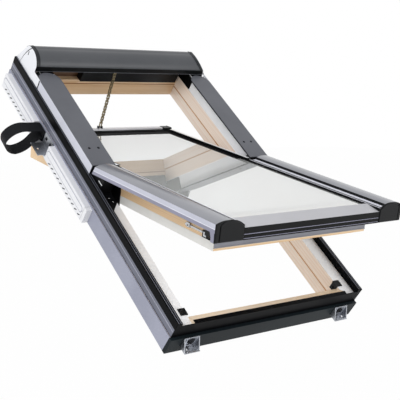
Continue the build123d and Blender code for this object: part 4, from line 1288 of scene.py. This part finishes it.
def link_plate(top, x):
    """One plate in a figure of eight, between two pins."""
    low = top - LINK_PITCH
    middle = (top + low) / 2
    path = [
        (-LINK_HALF, top), ((0, top + LINK_HALF), (LINK_HALF, top)),
        ((LINK_WAIST, middle), (LINK_HALF, low)),
        ((0, low - LINK_HALF), (-LINK_HALF, low)), ((-LINK_WAIST, middle), (-LINK_HALF, top)),
    ]
    return solid(on_x(x), path, (LINK_WALL, 0, 0), 5)


def chain_link(number):
    """A pair of plates, wide or narrow, and the pin above it."""
    top = CHAIN_START - LINK_HALF - number * LINK_PITCH
    spread = WIDE_PAIR if number % 2 else NARROW_PAIR
    pin_side = [(0.01, -PIN_REACH), (PIN_RADIUS, -PIN_REACH), (PIN_RADIUS, PIN_REACH), (0.01, PIN_REACH)]
    pin = round_body(pin_side, (0, 0, top), "X", 12)
    return joined(link_plate(top, spread), link_plate(top, -spread - LINK_WALL), pin)


chain = joined(*[chain_link(number) for number in range(LINKS)])
link_chain = piece("drive_chain", chain, CHAIN, "drive", "chain_steel", [chain_steel], ["chain"], edge=0)
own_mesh(link_chain)

# %% [markdown]
# A flat steel rod locks the sash. It ends in a moulded block with the bolt, and slides in one guide
# that is screwed to the stile. The block and the rod move together towards the sill.

# %% Locking rods
ROD_IN, ROD_OUT = 296.3, 300
ROD_LOW, ROD_HIGH, ROD_STOP = -46, -40.5, -396
LOCK_END, LOCK_NOSE, LOCK_REAR = -508, -496, -475
LOCK_LOW, LOCK_HIGH = -56.5, -36
GUIDE_ROW, GUIDE_HALF, GUIDE_FACE, GUIDE_MIDDLE = -411, 8, 301.4, -43


def lock_block():
    """The moulded block, with the bolt's nose and a shiny plate on it."""
    body = rounded(block((ROD_IN, LOCK_NOSE - 1, LOCK_LOW), (ROD_OUT, LOCK_REAR, LOCK_HIGH)), 1.2, 3)
    nose = rounded(block((ROD_IN, LOCK_END, LOCK_LOW), (ROD_OUT, LOCK_NOSE, -50)), 0.8, 2)
    rod = block((ROD_IN + 0.4, LOCK_REAR - 2, ROD_LOW), (ROD_OUT - 0.4, ROD_STOP, ROD_HIGH))
    rounded(rod, 0.5, 2)
    plate = rounded(block((ROD_OUT - 0.3, -493, -53), (ROD_OUT + 0.4, -480, -40)), 0.3, 2)
    for metal in (rod, plate):
        painted(metal, 1)
    return joined(body, nose, rod, plate)


def rod_guide():
    """The guide: a bridge over the rod on two feet, with the head of its screw."""
    start, stop = GUIDE_ROW - GUIDE_HALF, GUIDE_ROW + GUIDE_HALF
    bridge = rounded(block((ROD_OUT + 0.3, start, -47.5), (GUIDE_FACE, stop, -38)), 0.4, 2)
    feet = [
        rounded(block((297.1, start, low), (GUIDE_FACE, stop, low + 3.4)), 0.4, 2)
        for low in (-48.4, -38.8)
    ]
    dome = [(0.01, 0), (2.4, 0), ((2, 0.7), (0.01, 1))]
    head = round_body(dome, (GUIDE_FACE - 0.2, GUIDE_ROW, GUIDE_MIDDLE), "X", 16)
    painted(head, 1)
    return joined(bridge, *feet, head)


two_sides("lock_rod_detail", lock_block, SASH, ("lock_right", "lock_left"), "black_plastic",
          [black_plastic, steel], "lock_rod", edge=0)
two_sides("lock_guide", rod_guide, SASH, ON_SASH, "steel", [steel, black_steel], edge=0)
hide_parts("lock_guides")

# %% [markdown]
# An extruded profile faces the sash's bottom rail, so only the rail's lowest edge shows its wood. A
# groove along it holds a black seal, and a small foot sheds the drops.

# %% Profile of the bottom rail
RAIL_FACE = -525
PROFILE_HALF = 296
profile_path = [
    (RAIL_FACE, -30), (RAIL_FACE - 1.4, -30), (RAIL_FACE - 1.4, -48), (RAIL_FACE - 0.6, -48.6),
    (RAIL_FACE - 0.6, -50.4), (RAIL_FACE - 1.4, -51), (RAIL_FACE - 1.4, -70), (RAIL_FACE - 2.4, -71),
    (RAIL_FACE - 2.4, -74), (RAIL_FACE, -75),
]
profile_paint = coated("coated_rail_profile", "#8a8b94", "#81828a", 0.35, SASH_SLOPE)
profile = solid(on_x(-PROFILE_HALF), profile_path, (2 * PROFILE_HALF, 0, 0))
painted(profile, 1, lambda middle, normal: middle.y > RAIL_FACE - 1.2 and -50.6 < middle.z < -48.2)
piece("rail_profile", profile, SASH, "sash", "capping", [profile_paint, black_rail], edge=0.2)

# %% [markdown]
# The fixed covers end in moulded plugs at their lower ends. At their upper ends the flange runs on
# straight, and black pads lie under it on the jamb's wall and trim. Small fittings sit on the hinges: a
# pale index mark on each housing, a black strip over the ledge before it, and two bright screws.

# %% Plugs, pads and hinge fittings
COVER_PLUG_START, COVER_PLUG_STOP = COVER_START - 0.5, COVER_START + 5
COVER_PLUG_TOP, COVER_PLUG_STEP = COVER_TOP - 1.4, 300
LEDGE, LEDGE_STRIP = 90, 1.4
LEDGE_SCREWS = ((322, -68), (315, -84))


def cover_plug():
    """The plug in the lower end of a fixed cover, shallow where the sash turns past it."""
    deep_foot = (COVER_PLUG_STEP - 1, COVER_PLUG_START, FLANGE_LOW + 2)
    deep = block(deep_foot, (COVER_OUT - 1.5, COVER_PLUG_STOP, COVER_PLUG_TOP))
    shallow_foot = (COVER_IN + 1.5, COVER_PLUG_START, LIP_LOW + 0.3)
    shallow = block(shallow_foot, (COVER_PLUG_STEP, COVER_PLUG_STOP, COVER_PLUG_TOP))
    return joined(rounded(deep, 1, 2), rounded(shallow, 0.5, 2))


def flange_end():
    """The straight end of a fixed cover's flange, and the black pads on the wall and the trim below it."""
    # Painted reflection: the flange's straight end gets a pale coat, as the flange does.
    flange = block((COVER_OUT - 1.4, COVER_ROUND - 6, FLANGE_LOW), (COVER_OUT, 489, COVER_TOP - 0.6))
    flange = rounded(flange, 0.4, 2)
    pad = rounded(block((298.2, 470, 92), (302.9, 552, 146)), 0.8, 2)
    painted(pad, 1)
    lid = painted(block((290.5, 474, 147.7), (340, 487.5, 148.25)), 1)
    return joined(flange, pad, lid)


def hinge_fittings():
    """The index mark, the ledge strip and the two screws of one hinge."""
    mark = rounded(block((347.8, -44, 122.4), (348.7, -21, 125.4)), 0.3, 2)
    painted(mark, 1)
    strip_path = [(302.6, -45.4), (348.6, -45.4), (348.6, -142), (302.6, -88)]
    strip = rounded(solid(on_z(LEDGE), strip_path, (0, 0, LEDGE_STRIP)), 0.4, 2)
    screws = [screw((x, y, LEDGE + LEDGE_STRIP), 2.8, 1.8) for x, y in LEDGE_SCREWS]
    for head in screws:
        painted(head, 2)
    return joined(mark, strip, *screws)


two_sides("cover_plug", cover_plug, ROOF, FRAME, "black_plastic", [black_plastic], edge=0)
two_sides("cover_flange_end", flange_end, ROOF, FRAME, "cover_anthracite", [white_flange, rubber], edge=0)
two_sides("hinge_fitting", hinge_fittings, ROOF, FRAME, "black_plastic",
          [black_plastic, light_trim, steel], edge=0)

# %% [markdown]
# A groove runs along the inner faces of the jambs and the head. It shows as a fine brown line, which
# is the groove's shade and the darker cut wood inside it, and a thin strip of darker pine over its
# mouth paints both. Another strip paints the dark brown shade in the head's rebate under the hood.

# %% Grooves in the timber
# Painted shade in the grooves, together with the darker colour of cut wood.
groove_shade_jamb = pine("pine_groove_shade_jamb", ("#cf9c66", "#c48f59", "#b27d4a"), ROOF_PITCH, True)
groove_shade_head = pine("pine_groove_shade_head", ("#a87a4c", "#9c6d40", "#875b33"), ROOF_PITCH, False)
rebate_painted_shade = pine("pine_rebate_painted_shade", ("#5c3f26", "#523720", "#432c18"), ROOF_PITCH, False)
JAMB_IN, HEAD_IN, REBATE_FACE = 302, 553, 572
JAMB_START = -538
JAMB_GROOVE, HEAD_GROOVE, REBATE = (39.2, 43.4), (47.2, 51.4), (66.2, 107.5)
STRIP_PROUD = 0.2


def jamb_groove():
    """The darker strip along a jamb."""
    low, high = JAMB_GROOVE
    return block((JAMB_IN - STRIP_PROUD, JAMB_START, low), (JAMB_IN + 1, HEAD_IN, high))


two_sides("jamb_groove", jamb_groove, ROOF, FRAME, "pine_frame", [groove_shade_jamb], edge=0)
head_groove = block(
    (-JAMB_IN, HEAD_IN - STRIP_PROUD, HEAD_GROOVE[0]), (JAMB_IN, HEAD_IN + 1, HEAD_GROOVE[1])
)
piece("head_groove", head_groove, ROOF, "frame", "pine_frame", [groove_shade_head], edge=0)
# Painted shade: the rebate under the hood is dark brown only because it lies in the hood's shade.
head_rebate = block((-JAMB_IN, REBATE_FACE - 0.3, REBATE[0]), (JAMB_IN, REBATE_FACE + 1, REBATE[1]))
piece("head_rebate", head_rebate, ROOF, "frame", "pine_frame", [rebate_painted_shade], edge=0)
